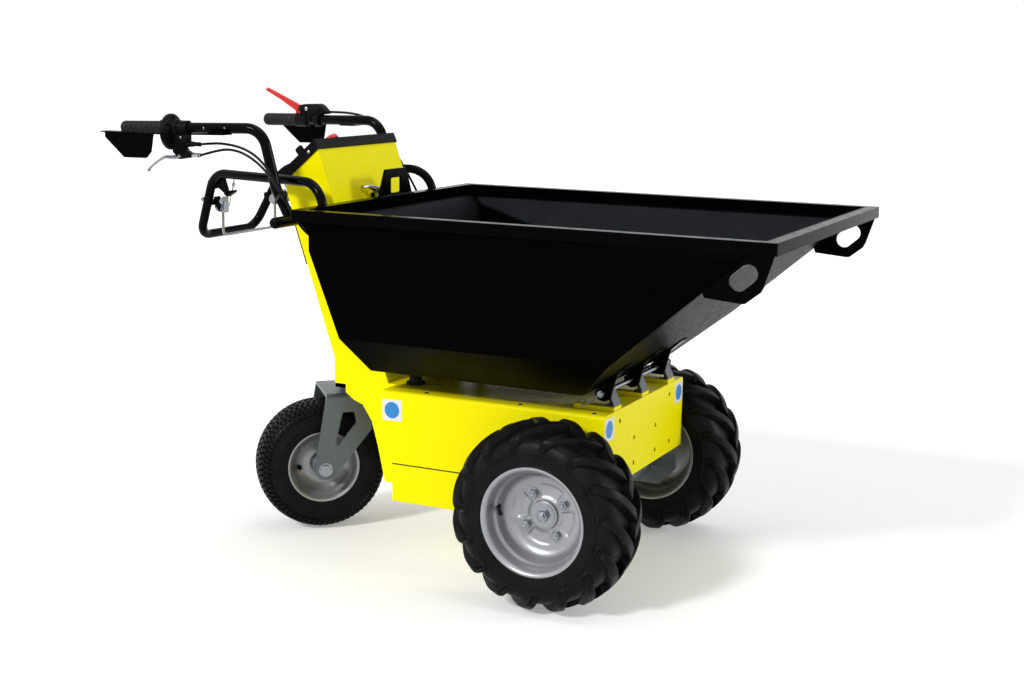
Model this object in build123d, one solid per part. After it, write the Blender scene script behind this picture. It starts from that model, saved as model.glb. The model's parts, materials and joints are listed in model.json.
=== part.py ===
from build123d import *
import math
import os

os.makedirs("parts", exist_ok=True)

# Pedestrian three-wheel electric site dumper, in millimetres.
# x runs forward from the front axle, y to the machine's left, z up from the ground.
# write() moves every piece so that the origin lies under the middle of the overall length.

# ---------------------------------------------------------------- driving sizes
sheet = 3.0                   # folded body panels
face_gap = 0.3                # clearance between pieces that lie side by side

# skip
skip_front = 499.0            # front face of the rim
skip_rear = -585.0            # rear face of the rim
skip_half_width = 413.0
skip_top = 824.0
rim_bar = 25.0                # square rim tube
skip_fold_z = 550.0           # where the upright sides turn in
skip_floor_z = 456.0
skip_floor_half_width = 272.0
skip_floor_front = 51.0
skip_floor_rear = -468.0
skip_side_inset = 11.0        # tub's sides from the rim's outer faces
skip_back_upright_x = -546.0  # short upright part of the rear wall
skip_back_knee_z = skip_top - 88.0
skip_back_fold_x = -470.0
skip_back_flare = 11.0        # tub's rear top edge from the rim's rear face
lug_plate = 8.0

# chassis box and battery tray
box_front = 91.0
box_rear = -456.0
box_half_width = 243.0
box_top = 408.0
box_bottom = 241.0
tray_rear = -429.0
tray_front = -222.0
tray_bottom = 151.0
battery_size = (190.0, 380.0, 215.0)
battery_gap = 4.0             # round the battery in the box's floor

# front wheels
tyre_radius = 206.0           # over the lugs
tyre_width = 158.0
wheel_gap = 11.0              # tyre's inner side from the chassis box
track = 2 * (box_half_width + wheel_gap + tyre_width / 2)
rim_radius = 119.0
rim_width = 150.0
lug_count = 15                # bars on each half of a tyre
lug_sweep = 25.5              # degrees from a bar's shoulder end to its middle end
lug_start = 8.0               # degrees from the top to the first shoulder end

# castor
pivot_x = -688.0
castor_angle = 41.8           # swivel at rest
castor_trail = 78.0
castor_tyre_radius = 159.0
castor_tyre_width = 124.0
castor_rim_radius = 89.0
castor_rim_width = 116.0
fork_inside = 156.0
fork_plate = 8.0
fork_fold = 11.0              # outside bend between the top plate and the cheeks
fork_top = 346.0
castor_floor_z = 384.0        # underside of the plate that carries the castor
castor_floor = 10.0
kingpin_radius = 12.0
kingpin_housing_radius = 33.0
bearing_radius = 30.0

# skip hinge
hinge_x = 65.0
hinge_z = 448.0
rod_radius = 6.0
rod_half_length = 212.0
running_fit = 0.05
hinge_stations = (-165.0, 0.0, 165.0)

# pylon and console
pylon_half_width = 178.0
console_top_front = (-674.0, 957.0)
console_top_rear = (-769.0, 875.0)
cap_lip = 20.0

# handlebar, guard bar and bail
bar_radius = 12.5
guard_radius = 11.0
bail_radius = 3.5
grip_end = (-1127.0, 292.0, 977.0)
bar_corner = (-762.0, 260.0, 986.0)
cross_tube = (-688.0, 780.0)  # x and z of the stub tubes that carry the handlebar
cross_tube_radius = 13.0
cross_tube_end = 331.0
leg_foot_y = 256.0
grip_radius = 15.5
grip_cap = 6.0                # closed end of the grip beyond the tube

grip_run = math.dist(grip_end, bar_corner)
grip_line = tuple((c - g) / grip_run for g, c in zip(grip_end, bar_corner))
guard_rear = -1140.0          # rear edge of the hand guards, the rearmost point
origin_shift = -(skip_front + guard_rear) / 2


# ---------------------------------------------------------------- helpers
def write(node, made):
    """One STEP file per sub-part, moved to the shared origin."""
    solids = made if isinstance(made, list) else [made]
    moved = [Pos(origin_shift, 0, 0) * solid for solid in solids]
    export_step(Compound(children=moved) if len(moved) > 1 else moved[0], f"parts/{node}.step")


def pull(sketch, height, plane=Plane.XY):
    """Solid drawn from a sketch along the plane's normal, whichever way the sketch runs."""
    return extrude(plane * sketch, height, dir=plane.z_dir)


def upright(sketch, y_low, y_high):
    """Plate whose sketch is drawn in x and z, between two y values."""
    return Pos(0, y_high, 0) * pull(sketch, y_high - y_low, Plane.XZ)


def outline(points, radius=0.0):
    """Closed outline with equal corner rounds."""
    sketch = Polygon(*points, align=None)
    return fillet(sketch.vertices(), radius) if radius else sketch


def block(x_low, x_high, y_low, y_high, z_low, z_high):
    return Pos(x_low, y_low, z_low) * Box(
        x_high - x_low, y_high - y_low, z_high - z_low, align=(Align.MIN, Align.MIN, Align.MIN))


def rod_y(x, z, radius, y_low, y_high):
    """Round bar along y."""
    return Pos(x, y_high, z) * Rot(90, 0, 0) * Cylinder(
        radius, y_high - y_low, align=(Align.CENTER, Align.CENTER, Align.MIN))


def bent_tube(points, bend_radii, radius):
    """Round tube along straight runs joined by tangent arcs."""
    path = FilletPolyline(*points, radius=bend_radii)
    return sweep(path.location_at(0) * Circle(radius), path=path)


def bent_bar(points, radius):
    """Round bar along one straight run between two points."""
    path = Line(*points)
    return sweep(path.location_at(0) * Circle(radius), path=path)


def both_sides(shape):
    """A piece and its mirror image on the other side of the middle plane."""
    return [shape, mirror(shape, about=Plane.XZ)]


def turned(profile):
    """Wheel part turned about y; the profile's columns are distance along the axle and radius."""
    return revolve(Plane.YZ * Polygon(*profile, align=None), axis=Axis.Y)


def about_axle(radius, y, degrees):
    """Point at a radius and a distance along y, its angle measured forward from the top."""
    angle = math.radians(degrees)
    return (radius * math.sin(angle), y, radius * math.cos(angle))


def facet(*corners):
    return Face(Wire.make_polygon(corners))


def turned_flat(profile, sides, start=0.0):
    """Like turned(), in flat facets: few faces for a tyre's carcass."""
    rings = []
    for y, radius in profile:
        rings.append([about_axle(radius, y, start + 360 * i / sides) for i in range(sides)])
    faces = []
    for ring, after in zip(rings, rings[1:] + rings[:1]):
        for i in range(sides):
            j = (i + 1) % sides
            faces.append(facet(ring[i], ring[j], after[j], after[i]))
    return Solid(Shell(faces))


def mirrored_profile(half):
    """Closed wheel profile from its half on the -y side."""
    return half + [(-y, radius) for y, radius in reversed(half)]


# ---------------------------------------------------------------- skip
rim_underside = skip_top - rim_bar
front_slope = (skip_top - skip_floor_z) / (skip_front - rim_bar - skip_floor_front)
wall_run = math.hypot(1, front_slope)
tub_half_width = skip_half_width - skip_side_inset


def wall_point(along, out):
    """Point on the front wall's outer face: distance up it from the floor and out from it."""
    return (skip_floor_front + (along + out * front_slope) / wall_run,
            skip_floor_z + (along * front_slope - out) / wall_run)


def wall_x(z, out=0.0):
    """Where the front wall's outer face passes a height, moved out by a distance."""
    return skip_floor_front + (z - skip_floor_z + out * wall_run) / front_slope


def skip_profile(top):
    """Side view of the tub, closed along a level line at the given height."""
    flare_x = skip_rear + skip_back_flare
    return [
        (flare_x, top), (flare_x, rim_underside), (flare_x + 17, rim_underside - 11),
        (skip_back_upright_x, rim_underside - 29), (skip_back_upright_x, skip_back_knee_z),
        (skip_back_fold_x, skip_fold_z), (skip_floor_rear, skip_floor_z),
        (skip_floor_front, skip_floor_z), (wall_x(top), top)]


def skip_section(top):
    """Front view of the tub: upright sides, folded in below to a flat floor."""
    half = [(tub_half_width, top), (tub_half_width, skip_fold_z), (skip_floor_half_width, skip_floor_z)]
    return half + [(-y, z) for y, z in reversed(half)]


def skip_block(top, inset):
    """Solid of the tub's outside, or of its inside when inset by the sheet."""
    side_view = Polygon(*skip_profile(top), align=None)
    front_view = Polygon(*skip_section(top), align=None)
    if inset:
        side_view = offset(side_view, -inset, kind=Kind.INTERSECTION)
        front_view = offset(front_view, -inset, kind=Kind.INTERSECTION)
    across = upright(side_view, -skip_half_width, skip_half_width)
    along = Pos(skip_rear, 0, 0) * pull(front_view, skip_front - skip_rear, Plane.YZ)
    return across & along


def skip_tub():
    """Folded tub, its front wall running on up to the front rim's top edge."""
    shell = skip_block(rim_underside, 0) - skip_block(skip_top, sheet)
    lip = outline([(wall_x(rim_underside), rim_underside), (wall_x(skip_top), skip_top),
                   (wall_x(skip_top, -sheet), skip_top), (wall_x(rim_underside, -sheet), rim_underside)])
    inside_rim = skip_half_width - rim_bar
    return shell + upright(lip, -inside_rim, inside_rim)


def skip_rim():
    length = skip_front - skip_rear
    middle = (skip_front + skip_rear) / 2
    outer = Pos(middle, 0, skip_top - rim_bar / 2) * Box(length, 2 * skip_half_width, rim_bar)
    outer = fillet(outer.edges().filter_by(Axis.Z), 4.0)
    inner = Pos(middle, 0, skip_top - rim_bar / 2) * Box(
        length - 2 * rim_bar, 2 * (skip_half_width - rim_bar), rim_bar + 2)
    return outer - inner


def skip_lugs():
    """Plates with a slotted lifting eye, in line with the tub's sides at its front corners."""
    plate = outline([(wall_x(rim_underside), rim_underside), (493, rim_underside), (474, 739), (468, 727),
                     (438, 703), (431, 702), (356, 708), (wall_x(718), 718)])
    eye = Pos(433, 752) * Rot(0, 0, math.degrees(math.atan(front_slope))) * SlotCenterToCenter(26, 37)
    return both_sides(upright(plate - eye, tub_half_width + 2 - lug_plate, tub_half_width + 2))


def skip_handle_plate():
    """Slotted hand hold standing on the inner edge of the rear rim."""
    face = outline([(-77, 0), (77, 0), (48, 65), (-48, 65)])
    face = fillet(face.vertices().sort_by(Axis.Y)[-2:], 7.0)
    hole = Pos(0, 8) * Rectangle(49, 36, align=(Align.CENTER, Align.MIN))
    hole = fillet(hole.vertices(), 5.0)
    return Pos(skip_rear + rim_bar - 6, 0, skip_top) * pull(face - hole, 6.0, Plane.YZ)


ear_plate = 6.0
knuckle_radius = 11.0
bracket_width = 38.0
ear_radius = 19.0


def skip_hinge_ears():
    """Strap on the front wall and a round ear beside each bracket, turning on the rod."""
    shapes = []
    for y in hinge_stations:
        ear_y = y - bracket_width / 2 - ear_plate - 1.0
        ear = Pos(hinge_x, hinge_z) * Circle(ear_radius)
        ear += outline([wall_point(-2, 0), wall_point(62, 0), wall_point(40, 14),
                        (hinge_x + ear_radius, hinge_z), (hinge_x, hinge_z - 4)])
        ear -= Pos(hinge_x, hinge_z) * Circle(rod_radius + running_fit)
        above_wall = outline([wall_point(-60, 0), wall_point(200, 0), wall_point(200, -90),
                              wall_point(-60, -90)])
        below_floor = outline([(-60, skip_floor_z), (skip_floor_front + 2, skip_floor_z),
                               (skip_floor_front + 2, skip_floor_z + 60), (-60, skip_floor_z + 60)])
        strap = outline([wall_point(20, 0), wall_point(90, 0), wall_point(90, 3), wall_point(20, 3)])
        piece = upright(ear - above_wall - below_floor, ear_y, ear_y + ear_plate)
        piece += upright(strap, ear_y, y + bracket_width / 2)
        shapes.append(piece)
    return shapes


# ---------------------------------------------------------------- chassis
base_bar_height = 9.0
base_bar_rear = -6.0


def chassis_box():
    """Closed sheet box, with the tray's opening in its floor and the hinge bars on top."""
    outer = block(box_rear, box_front, -box_half_width, box_half_width, box_bottom, box_top)
    outer = fillet(outer.edges().filter_by(Axis.X).group_by(Axis.Z)[-1], 8.0)
    inner = block(box_rear + sheet, box_front - sheet, -box_half_width + sheet,
                  box_half_width - sheet, box_bottom + sheet, box_top - sheet)
    length, width, _ = battery_size
    middle = (tray_rear + tray_front) / 2
    opening = Pos(middle, 0, box_bottom) * Box(length + 2 * battery_gap, width + 2 * battery_gap, 4 * sheet)
    shape = outer - inner - opening
    for y, z in front_holes():
        shape -= Pos(box_front - sheet, y, z) * Rot(0, 90, 0) * Cylinder(
            5.5, 3 * sheet)
    for y in hinge_stations:
        shape += block(base_bar_rear, box_front - 2, y - bracket_width / 2 - 2,
                       y + bracket_width / 2 + 2, box_top, box_top + base_bar_height)
    return shape


def front_holes():
    """Bolt holes in the front face: a wide row above and two close rows below."""
    return [(side * y, z) for y, z in ((154, 382), (66, 326), (66, 268), (160, 268)) for side in (-1, 1)]


def battery_tray():
    outer = block(tray_rear, tray_front, -box_half_width, box_half_width, tray_bottom, box_bottom)
    inner = block(tray_rear + sheet, tray_front - sheet, -box_half_width + sheet,
                  box_half_width - sheet, tray_bottom + sheet, box_bottom + 1)
    return outer - inner


def battery_block():
    length, width, height = battery_size
    middle = (tray_rear + tray_front) / 2
    return Pos(middle, 0, tray_bottom + sheet) * Box(
        length, width, height, align=(Align.CENTER, Align.CENTER, Align.MIN))


def bump_stops():
    """Rubber buffers on which the tub rests, with a steel washer below."""
    shapes = []
    for x, half in ((-420.0, 150.0),):
        post = Pos(x, half, box_top) * Cylinder(22, 6, align=(Align.CENTER, Align.CENTER, Align.MIN))
        post += Pos(x, half, box_top) * Cylinder(
            15, skip_floor_z - face_gap - box_top, align=(Align.CENTER, Align.CENTER, Align.MIN))
        shapes += both_sides(post)
    return shapes


# ---------------------------------------------------------------- hinge
def hinge_brackets():
    """Bent zinc strips: a foot on the bar, a slanted leg and a knuckle round the rod."""
    foot_z = box_top + base_bar_height
    leg = outline([(hinge_x + 2, foot_z), (box_front - 3, foot_z), (box_front - 3, foot_z + 5),
                   (hinge_x + knuckle_radius, hinge_z), (hinge_x + 5, hinge_z),
                   (box_front - 12, foot_z + 5), (hinge_x + 2, foot_z + 5)])
    profile = leg + Pos(hinge_x, hinge_z) * Circle(knuckle_radius)
    profile -= Pos(hinge_x, hinge_z) * Circle(rod_radius + running_fit)
    return [upright(profile, y - bracket_width / 2, y + bracket_width / 2) for y in hinge_stations]


def hinge_rod():
    return rod_y(hinge_x, hinge_z, rod_radius, -rod_half_length, rod_half_length)


# ---------------------------------------------------------------- pylon
def pylon_back():
    """Side view of the pylon's back, from the console's rear edge down to the castor plate."""
    return [console_top_rear, (-754, 846), (-728, 760), (-623, 455), (-623, castor_floor_z + castor_floor)]


def pylon_front():
    """Side view of the pylon's front, from the box's top up to the console's front edge."""
    return [(-477, box_top), (-625, 825), (-666, 940), console_top_front]


def pylon_side_plates():
    """Side plates with the castor's arch cut in them, closing round the box's rear end."""
    arch = [(-593, castor_floor_z + castor_floor), (-593, 375), (-570, 358), (-547, 350), (-522, 313),
            (-506, 256), (-487, 172)]
    foot = [(tray_rear - face_gap, 172), (tray_rear - face_gap, box_bottom - face_gap),
            (box_rear - face_gap, box_bottom - face_gap), (box_rear - face_gap, box_top)]
    plate = Polygon(*(pylon_back() + arch + foot + pylon_front()), align=None)
    return both_sides(upright(plate, pylon_half_width - sheet, pylon_half_width))


def column_outline():
    """Side view of the closed column above the castor plate."""
    floor = [(box_rear - face_gap, castor_floor_z + castor_floor), (box_rear - face_gap, box_top)]
    return pylon_back() + floor + pylon_front()


def pylon_wrapper():
    """Sheet that closes the column between its side plates."""
    whole = Polygon(*column_outline(), align=None)
    ring = whole - offset(whole, -sheet, kind=Kind.INTERSECTION)
    return upright(ring, -pylon_half_width + sheet, pylon_half_width - sheet)


def front_region():
    """Everything ahead of the pylon's middle line, above the level of the box's top."""
    zone = outline([(-715, 980), (-690, 925), (-547, box_top + 2), (-300, box_top + 2), (-300, 980)])
    return upright(zone, -300, 300)


def pylon_front_panel():
    return pylon_wrapper() & front_region()


def pylon_rear_panel():
    """Back sheet, turned forward at its foot to floor the column."""
    return pylon_wrapper() - front_region()


def control_panel_cap():
    """Black lid over the console's sloping top, with a lip all round."""
    whole = Polygon(*column_outline(), align=None)
    lid = upright(offset(whole, sheet + face_gap, kind=Kind.INTERSECTION),
                  -pylon_half_width - sheet - face_gap, pylon_half_width + sheet + face_gap)
    hollow = upright(offset(whole, face_gap, kind=Kind.INTERSECTION),
                     -pylon_half_width - face_gap, pylon_half_width + face_gap)
    (fx, fz), (rx, rz) = console_top_front, console_top_rear
    run = math.hypot(fx - rx, fz - rz)
    ux, uz = (fx - rx) / run, (fz - rz) / run
    corners = []
    for base_x, base_z, along, up in ((rx, rz, -40, -cap_lip), (fx, fz, 40, -cap_lip),
                                      (fx, fz, 40, 60), (rx, rz, -40, 60)):
        corners.append((base_x + ux * along - uz * up, base_z + uz * along + ux * up))
    return (lid - hollow) & upright(outline(corners), -300, 300)


def panel_place(along, y, lift=0.0):
    """Frame on the control panel: distance down from its front edge, z out of the panel."""
    (fx, fz), (rx, rz) = console_top_front, console_top_rear
    run = math.hypot(fx - rx, fz - rz)
    ux, uz = (rx - fx) / run, (rz - fz) / run
    height = sheet + face_gap + lift
    return Plane(origin=(fx + ux * along + uz * height, y, fz + uz * along - ux * height),
                 x_dir=(0, 1, 0), z_dir=(uz, 0, -ux)).location


def disc(radius, height):
    return Cylinder(radius, height, align=(Align.CENTER, Align.CENTER, Align.MIN))


def emergency_stop():
    knob = disc(15, 12) + Pos(0, 0, 12) * disc(11, 8)
    head = Pos(0, 0, 20) * disc(20, 12)
    head = fillet(head.edges().group_by(Axis.Z)[-1], 6.0)
    return panel_place(42, -30) * (knob + head)


def key_switch():
    barrel = disc(11, 10)
    key = Pos(0, 0, 10) * Box(2.4, 8, 8, align=(Align.CENTER, Align.CENTER, Align.MIN))
    bow = Pos(0, 0, 18) * Box(2.4, 22, 20, align=(Align.CENTER, Align.CENTER, Align.MIN))
    bow = fillet(bow.edges().filter_by(Axis.X), 6.0)
    return panel_place(78, 60 - pylon_half_width) * (barrel + key + bow)


def skip_latch():
    """Toggle latch on the pylon's front, under the skip's hand hold."""
    slope = Plane(origin=(-625, 0, 825), x_dir=(0, 1, 0), z_dir=(0.942, 0, 0.335)).location
    base = Box(46, 34, 4, align=(Align.CENTER, Align.CENTER, Align.MIN))
    ears = Pos(16, 4, 4) * Box(4, 24, 14, align=(Align.CENTER, Align.CENTER, Align.MIN))
    ears += Pos(-16, 4, 4) * Box(4, 24, 14, align=(Align.CENTER, Align.CENTER, Align.MIN))
    pin = Pos(-18, 8, 13) * Rot(0, 90, 0) * disc(3.5, 36)
    lever = Pos(0, 14, 9) * Box(27, 30, 5, align=(Align.CENTER, Align.CENTER, Align.MIN))
    return slope * (base + ears + pin + lever)


def rear_strip():
    """Flat bar bolted along the near edge of the pylon's slanting back."""
    (x0, z0), (x1, z1) = (-728, 760), (-623, 455)
    run = math.hypot(x1 - x0, z1 - z0)
    ux, uz = (x1 - x0) / run, (z1 - z0) / run
    frame = Plane(origin=(x0 + ux * 95, -pylon_half_width + 16, z0 + uz * 95),
                  x_dir=(0, 1, 0), z_dir=(uz, 0, -ux)).location
    bar = Pos(0, 0, 0) * Box(26, 140, 5, align=(Align.CENTER, Align.MAX, Align.MIN))
    return frame * bar


def castor_mount():
    """Plate under the pylon with the kingpin's housing on its rear end."""
    half = pylon_half_width - sheet - face_gap
    plan = make_hull((Pos(-608, 0) * Rectangle(30, 2 * half)).edges()
                     + (Pos(pivot_x, 0) * Circle(kingpin_housing_radius + 3)).edges())
    top = castor_floor_z + castor_floor
    shape = Pos(0, 0, castor_floor_z) * pull(plan, castor_floor)
    shape += Pos(pivot_x, 0, top) * disc(kingpin_housing_radius, 34)
    web = outline([(pivot_x + kingpin_housing_radius - 3, top), (-623 - face_gap, top),
                   (-623 - face_gap, top + 52), (pivot_x + kingpin_housing_radius - 3, top + 30)])
    for y in (-24, 24):
        shape += upright(web, y - 3, y + 3)
    return shape - Pos(pivot_x, 0, castor_floor_z) * disc(kingpin_radius + running_fit, 34)


# ---------------------------------------------------------------- castor
castor_x = pivot_x - castor_trail * math.cos(math.radians(castor_angle))
castor_y = -castor_trail * math.sin(math.radians(castor_angle))
castor_axle_radius = 8.0
castor_place = Pos(castor_x, castor_y, castor_tyre_radius) * Rot(0, 0, castor_angle)
# The castor's pieces are drawn with the axle at the origin, rolling along x.


def fork_section(half, top, fold):
    """Front view of the folded fork's outside or inside: two cheeks and the bends over them."""
    view = outline([(-half, -40), (half, -40), (half, top), (-half, top)])
    return fillet(view.vertices().sort_by(Axis.Y)[-2:], fold)


def castor_fork():
    """Folded fork: top plate and two slotted cheeks, with the swivel bearing on top."""
    top = fork_top - castor_tyre_radius
    outer = fork_inside / 2 + fork_plate
    cheek = outline([(4, top), (124, top), (118, 150), (113, 96), (20, -20), (-22, -14), (-21, 44)])
    cheek += Circle(27)
    slot = outline([(42, 141), (70, 142), (76, 115), (28, 54), (24, 64)], 4.0)
    bore = Circle(castor_axle_radius + running_fit)
    section = fork_section(outer, top, fork_fold)
    section -= fork_section(fork_inside / 2, top - fork_plate, fork_fold - fork_plate)
    shape = Pos(-40, 0, 0) * pull(section, 180, Plane.YZ) & upright(cheek - slot - bore, -outer, outer)
    shape += Pos(castor_trail, 0, top) * disc(bearing_radius, castor_floor_z - face_gap - fork_top)
    shape += Pos(castor_trail, 0, top) * disc(kingpin_radius, castor_floor_z + 30 - fork_top)
    return castor_place * shape


def castor_axle():
    reach = fork_inside / 2 + fork_plate
    axle = rod_y(0, 0, castor_axle_radius, -reach, reach)
    for side in (-1, 1):
        y = side * (reach + 5)
        axle += rod_y(0, 0, 14, y - 5, y + 5)
    return castor_place * axle


def castor_rim_profile():
    """Drop-centre rim with a disc and a through hub, on the -y side."""
    half, radius = castor_rim_width / 2, castor_rim_radius
    hub_end = fork_inside / 2 - 2
    return [(-half, radius), (-half, radius - 8), (-half + 8, radius - 14.5), (-half + 20, radius - 16.5),
            (-half + 27, radius - 19), (-half + 44, radius - 22), (-8, 52), (-5, 46), (-5, 27), (-9, 22),
            (-hub_end, 18), (-hub_end, castor_axle_radius + running_fit)]


def rim_seat(radius, width, well):
    """Tyre's side of a rim, from the -y flange to the +y flange."""
    half = width / 2
    return mirrored_profile([(-half + 7, radius), (-half + 9, radius - 12), (-half + 30, radius - 14),
                             (-half + 38, radius - well)])


def tyre_profile(radius, width, rim_r, rim_w, tread):
    """Carcass on the -y side: bead beside the rim's flange, bulging side, and flat tread."""
    half = width / 2
    seat = rim_w / 2 - 9 - face_gap
    side = radius - rim_r
    return [(-seat, rim_r - 10.4), (-seat - 1, rim_r + 1.3), (-half + 0.5, rim_r + 0.22 * side),
            (-half + 4, rim_r + 0.5 * side), (-half + 0.17 * width / 2, radius - 0.16 * side),
            (-tread, radius)]


def castor_rim():
    face = castor_rim_profile()
    other = [(-y, radius) for y, radius in reversed(face)]
    return castor_place * turned(face + other + rim_seat(castor_rim_radius, castor_rim_width, 19)[::-1])


def castor_tyre():
    half = tyre_profile(castor_tyre_radius, castor_tyre_width, castor_rim_radius, castor_rim_width, 26)
    return castor_place * turned_flat(mirrored_profile(half), 36)


# ---------------------------------------------------------------- front wheels and drive
axle_radius = 15.0
stud_radius = 7.0
hub_face = 12.5               # hub's outer end, outboard of the tyre's middle plane
stud_reach = 27.0
disc_faces = (-1.5, 4.5)
gearbox_plate_y = box_half_width - 47.0
gearbox_radius = 42.0
motor_radius = 36.0
carcass_radius = 184.0


def front_place(side):
    turn = 0 if side > 0 else 180
    return Pos(0, side * track / 2, tyre_radius) * Rot(0, 0, turn)


def front_rim(side):
    """Deep rim, open outboard down to its disc, with a plain drop-centre barrel inboard."""
    half, radius = rim_width / 2, rim_radius
    inboard, outboard = disc_faces
    outer_face = [(half, radius), (half, radius - 7), (half - 5, radius - 13), (half - 13, radius - 15.5),
                  (half - 28, radius - 17), (half - 35, radius - 22), (22, 94), (9, 85), (outboard, 74),
                  (outboard, 31), (hub_face, 30), (hub_face, axle_radius + running_fit)]
    inner_face = [(-34, axle_radius + running_fit), (-34, 30), (inboard, 31), (inboard, 74), (-6, 88),
                  (-14, 93), (-half + 35, radius - 22), (-half + 28, radius - 17), (-half + 13, radius - 15.5),
                  (-half + 5, radius - 13), (-half, radius - 7), (-half, radius)]
    return front_place(side) * turned(outer_face + inner_face + rim_seat(radius, rim_width, 19))


def tyre_lug(start, half):
    """One swept bar of the tread on the +y or -y half, from the middle to low on the shoulder."""
    # y and radius at the base, y and radius at the top, share of the sweep, half widths below and on top
    sections = [(-4, 180, -4, tyre_radius, 1.0, 14, 11.5), (38, 178, 40.5, 202.5, 0.52, 14, 11.5),
                (60, 166, 73.5, 183, 0.14, 12, 10), (68, 150, 78.8, 152, 0.0, 10.5, 8.5)]
    rings = []
    for low_y, low, top_y, top, share, low_half, top_half in sections:
        middle = start + lug_sweep * share
        low_turn, top_turn = math.degrees(low_half / low), math.degrees(top_half / top)
        rings.append([about_axle(low, half * low_y, middle - low_turn),
                      about_axle(top, half * top_y, middle - top_turn),
                      about_axle(top, half * top_y, middle + top_turn),
                      about_axle(low, half * low_y, middle + low_turn)])
    faces = [facet(*rings[0]), facet(*rings[-1])]
    for ring, after in zip(rings, rings[1:]):
        for i in range(4):
            j = (i + 1) % 4
            faces.append(facet(ring[i], ring[j], after[j]))
            faces.append(facet(ring[i], after[j], after[i]))
    return Solid(Shell(faces))


def front_tyre(side):
    """Carcass with its tread bars, the two halves staggered by half a pitch."""
    half = tyre_profile(carcass_radius, tyre_width, rim_radius, rim_width, 44)
    carcass = turned_flat(mirrored_profile(half), 2 * lug_count, lug_start - 5)
    pitch = 360 / lug_count
    lugs = []
    for i in range(lug_count):
        lugs.append(tyre_lug(lug_start + i * pitch, side))
        lugs.append(tyre_lug(lug_start + (i + 0.5) * pitch, -side))
    return Pos(0, side * track / 2, tyre_radius) * carcass.fuse(*lugs)


def gear_motors():
    """Gearbox plate and housing under the box, with the output shaft to the wheel."""
    top = box_bottom - face_gap
    plate = outline([(-95, top), (95, top), (95, 190), (55, 148), (-55, 148), (-95, 190)])
    centre = top - gearbox_radius
    unit = upright(plate, gearbox_plate_y, gearbox_plate_y + 10)
    unit += rod_y(0, centre, gearbox_radius, gearbox_plate_y + 10, gearbox_plate_y + 40)
    unit += rod_y(0, centre, motor_radius, 60, gearbox_plate_y)
    unit += rod_y(0, tyre_radius, axle_radius, gearbox_plate_y + 40, track / 2 + hub_face)
    unit += rod_y(0, tyre_radius, stud_radius, track / 2 + hub_face, track / 2 + stud_reach)
    return both_sides(unit)


# ---------------------------------------------------------------- handlebar and guard bar
def handlebar_mount():
    """Stub tube out from each side of the pylon, its outer end rounded by a cap."""
    x, z = cross_tube
    stub = rod_y(x, z, cross_tube_radius, pylon_half_width + face_gap, cross_tube_end)
    end = stub.edges().filter_by(GeomType.CIRCLE).sort_by(Axis.Y)[-1]
    return both_sides(fillet(end, cross_tube_radius - 2))


def handlebar_tubes():
    x, z = cross_tube
    points = [grip_end, bar_corner, (-727, 258, 852), (x, leg_foot_y, z)]
    bar = bent_tube(points, [52, 90], bar_radius)
    return both_sides(bar - rod_y(x, z, cross_tube_radius, pylon_half_width, cross_tube_end))


def on_bar(distance, side):
    """Frame on the handlebar's grip run: distance from the tube's end, z along the tube."""
    x, y, z = (g + a * distance for g, a in zip(grip_end, grip_line))
    ax, ay, az = grip_line
    return Plane(origin=(x, side * y, z), x_dir=(0, 0, 1), z_dir=(ax, side * ay, az)).location


def grips():
    """Rubber grips with a closed rear end and a collar in front."""
    grip = disc(grip_radius, 113) + Pos(0, 0, 107) * disc(grip_radius + 3, 6)
    grip -= Pos(0, 0, grip_cap) * disc(bar_radius + running_fit, 113)
    return [on_bar(-grip_cap, side) * grip for side in (1, -1)]


guard_plate_z = 969.0
guard_plate = 3.0
guard_outer_y = 365.0
guard_clamp = (-884.0, -842.0)


def hand_guards():
    """Flat plate outboard of each grip with a folded flap, clamped to the tube ahead of it."""
    clamp_rear, clamp_front = guard_clamp
    plan = outline([(guard_rear, guard_outer_y), (-965, guard_outer_y), (clamp_rear, 318), (clamp_front, 300),
                    (clamp_front, 272), (clamp_rear, 272), (-900, 300), (-950, 333), (guard_rear, 333)])
    plate = Pos(0, 0, guard_plate_z) * pull(plan, guard_plate)
    plate += block(clamp_rear, clamp_front, 264, 298, guard_plate_z, guard_plate_z + 8)
    face = outline([(-1128, guard_plate_z), (-1127, 958), (-1073, 913), (-1009, 914), (-995, 929),
                    (-988, guard_plate_z)])
    face = fillet(face.vertices().sort_by(Axis.Y)[:2], 7.0)
    flap = upright(face, guard_outer_y - guard_plate, guard_outer_y)
    return both_sides(plate + flap - bent_bar([grip_end, bar_corner], bar_radius))


def guard_bar():
    """One bent loop: feet on the pylon's sides, arms back, and a low crossbar behind."""
    foot = (-640, pylon_half_width + face_gap, 758)
    half = [foot, (-602, 256, 776), (-602, 256, 869), (-980, 149, 868), (-1050, 114.6, 709)]
    points = half + [(x, -y, z) for x, y, z in reversed(half)]
    bar = bent_tube(points, [26, 62, 68, 44, 44, 68, 62, 26], guard_radius)
    x, y, z = foot
    low = pylon_half_width + face_gap
    for flange in both_sides(rod_y(x, z, 18, low, low + 4)):
        bar += flange
    outside = Box(300, 2 * low, 300)
    return bar - Pos(x, 0, z) * outside


bail_x = -984.0
bail_y = 111.0
bracket_plate = 4.0


def bail_wire():
    """Bright wire bail hanging inside the guard bar."""
    half = [(bail_x, bail_y, 792), (bail_x, bail_y, 713)]
    points = half + [(x, -y, z) for x, y, z in reversed(half)]
    return bent_tube(points, [14, 14], bail_radius)


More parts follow.
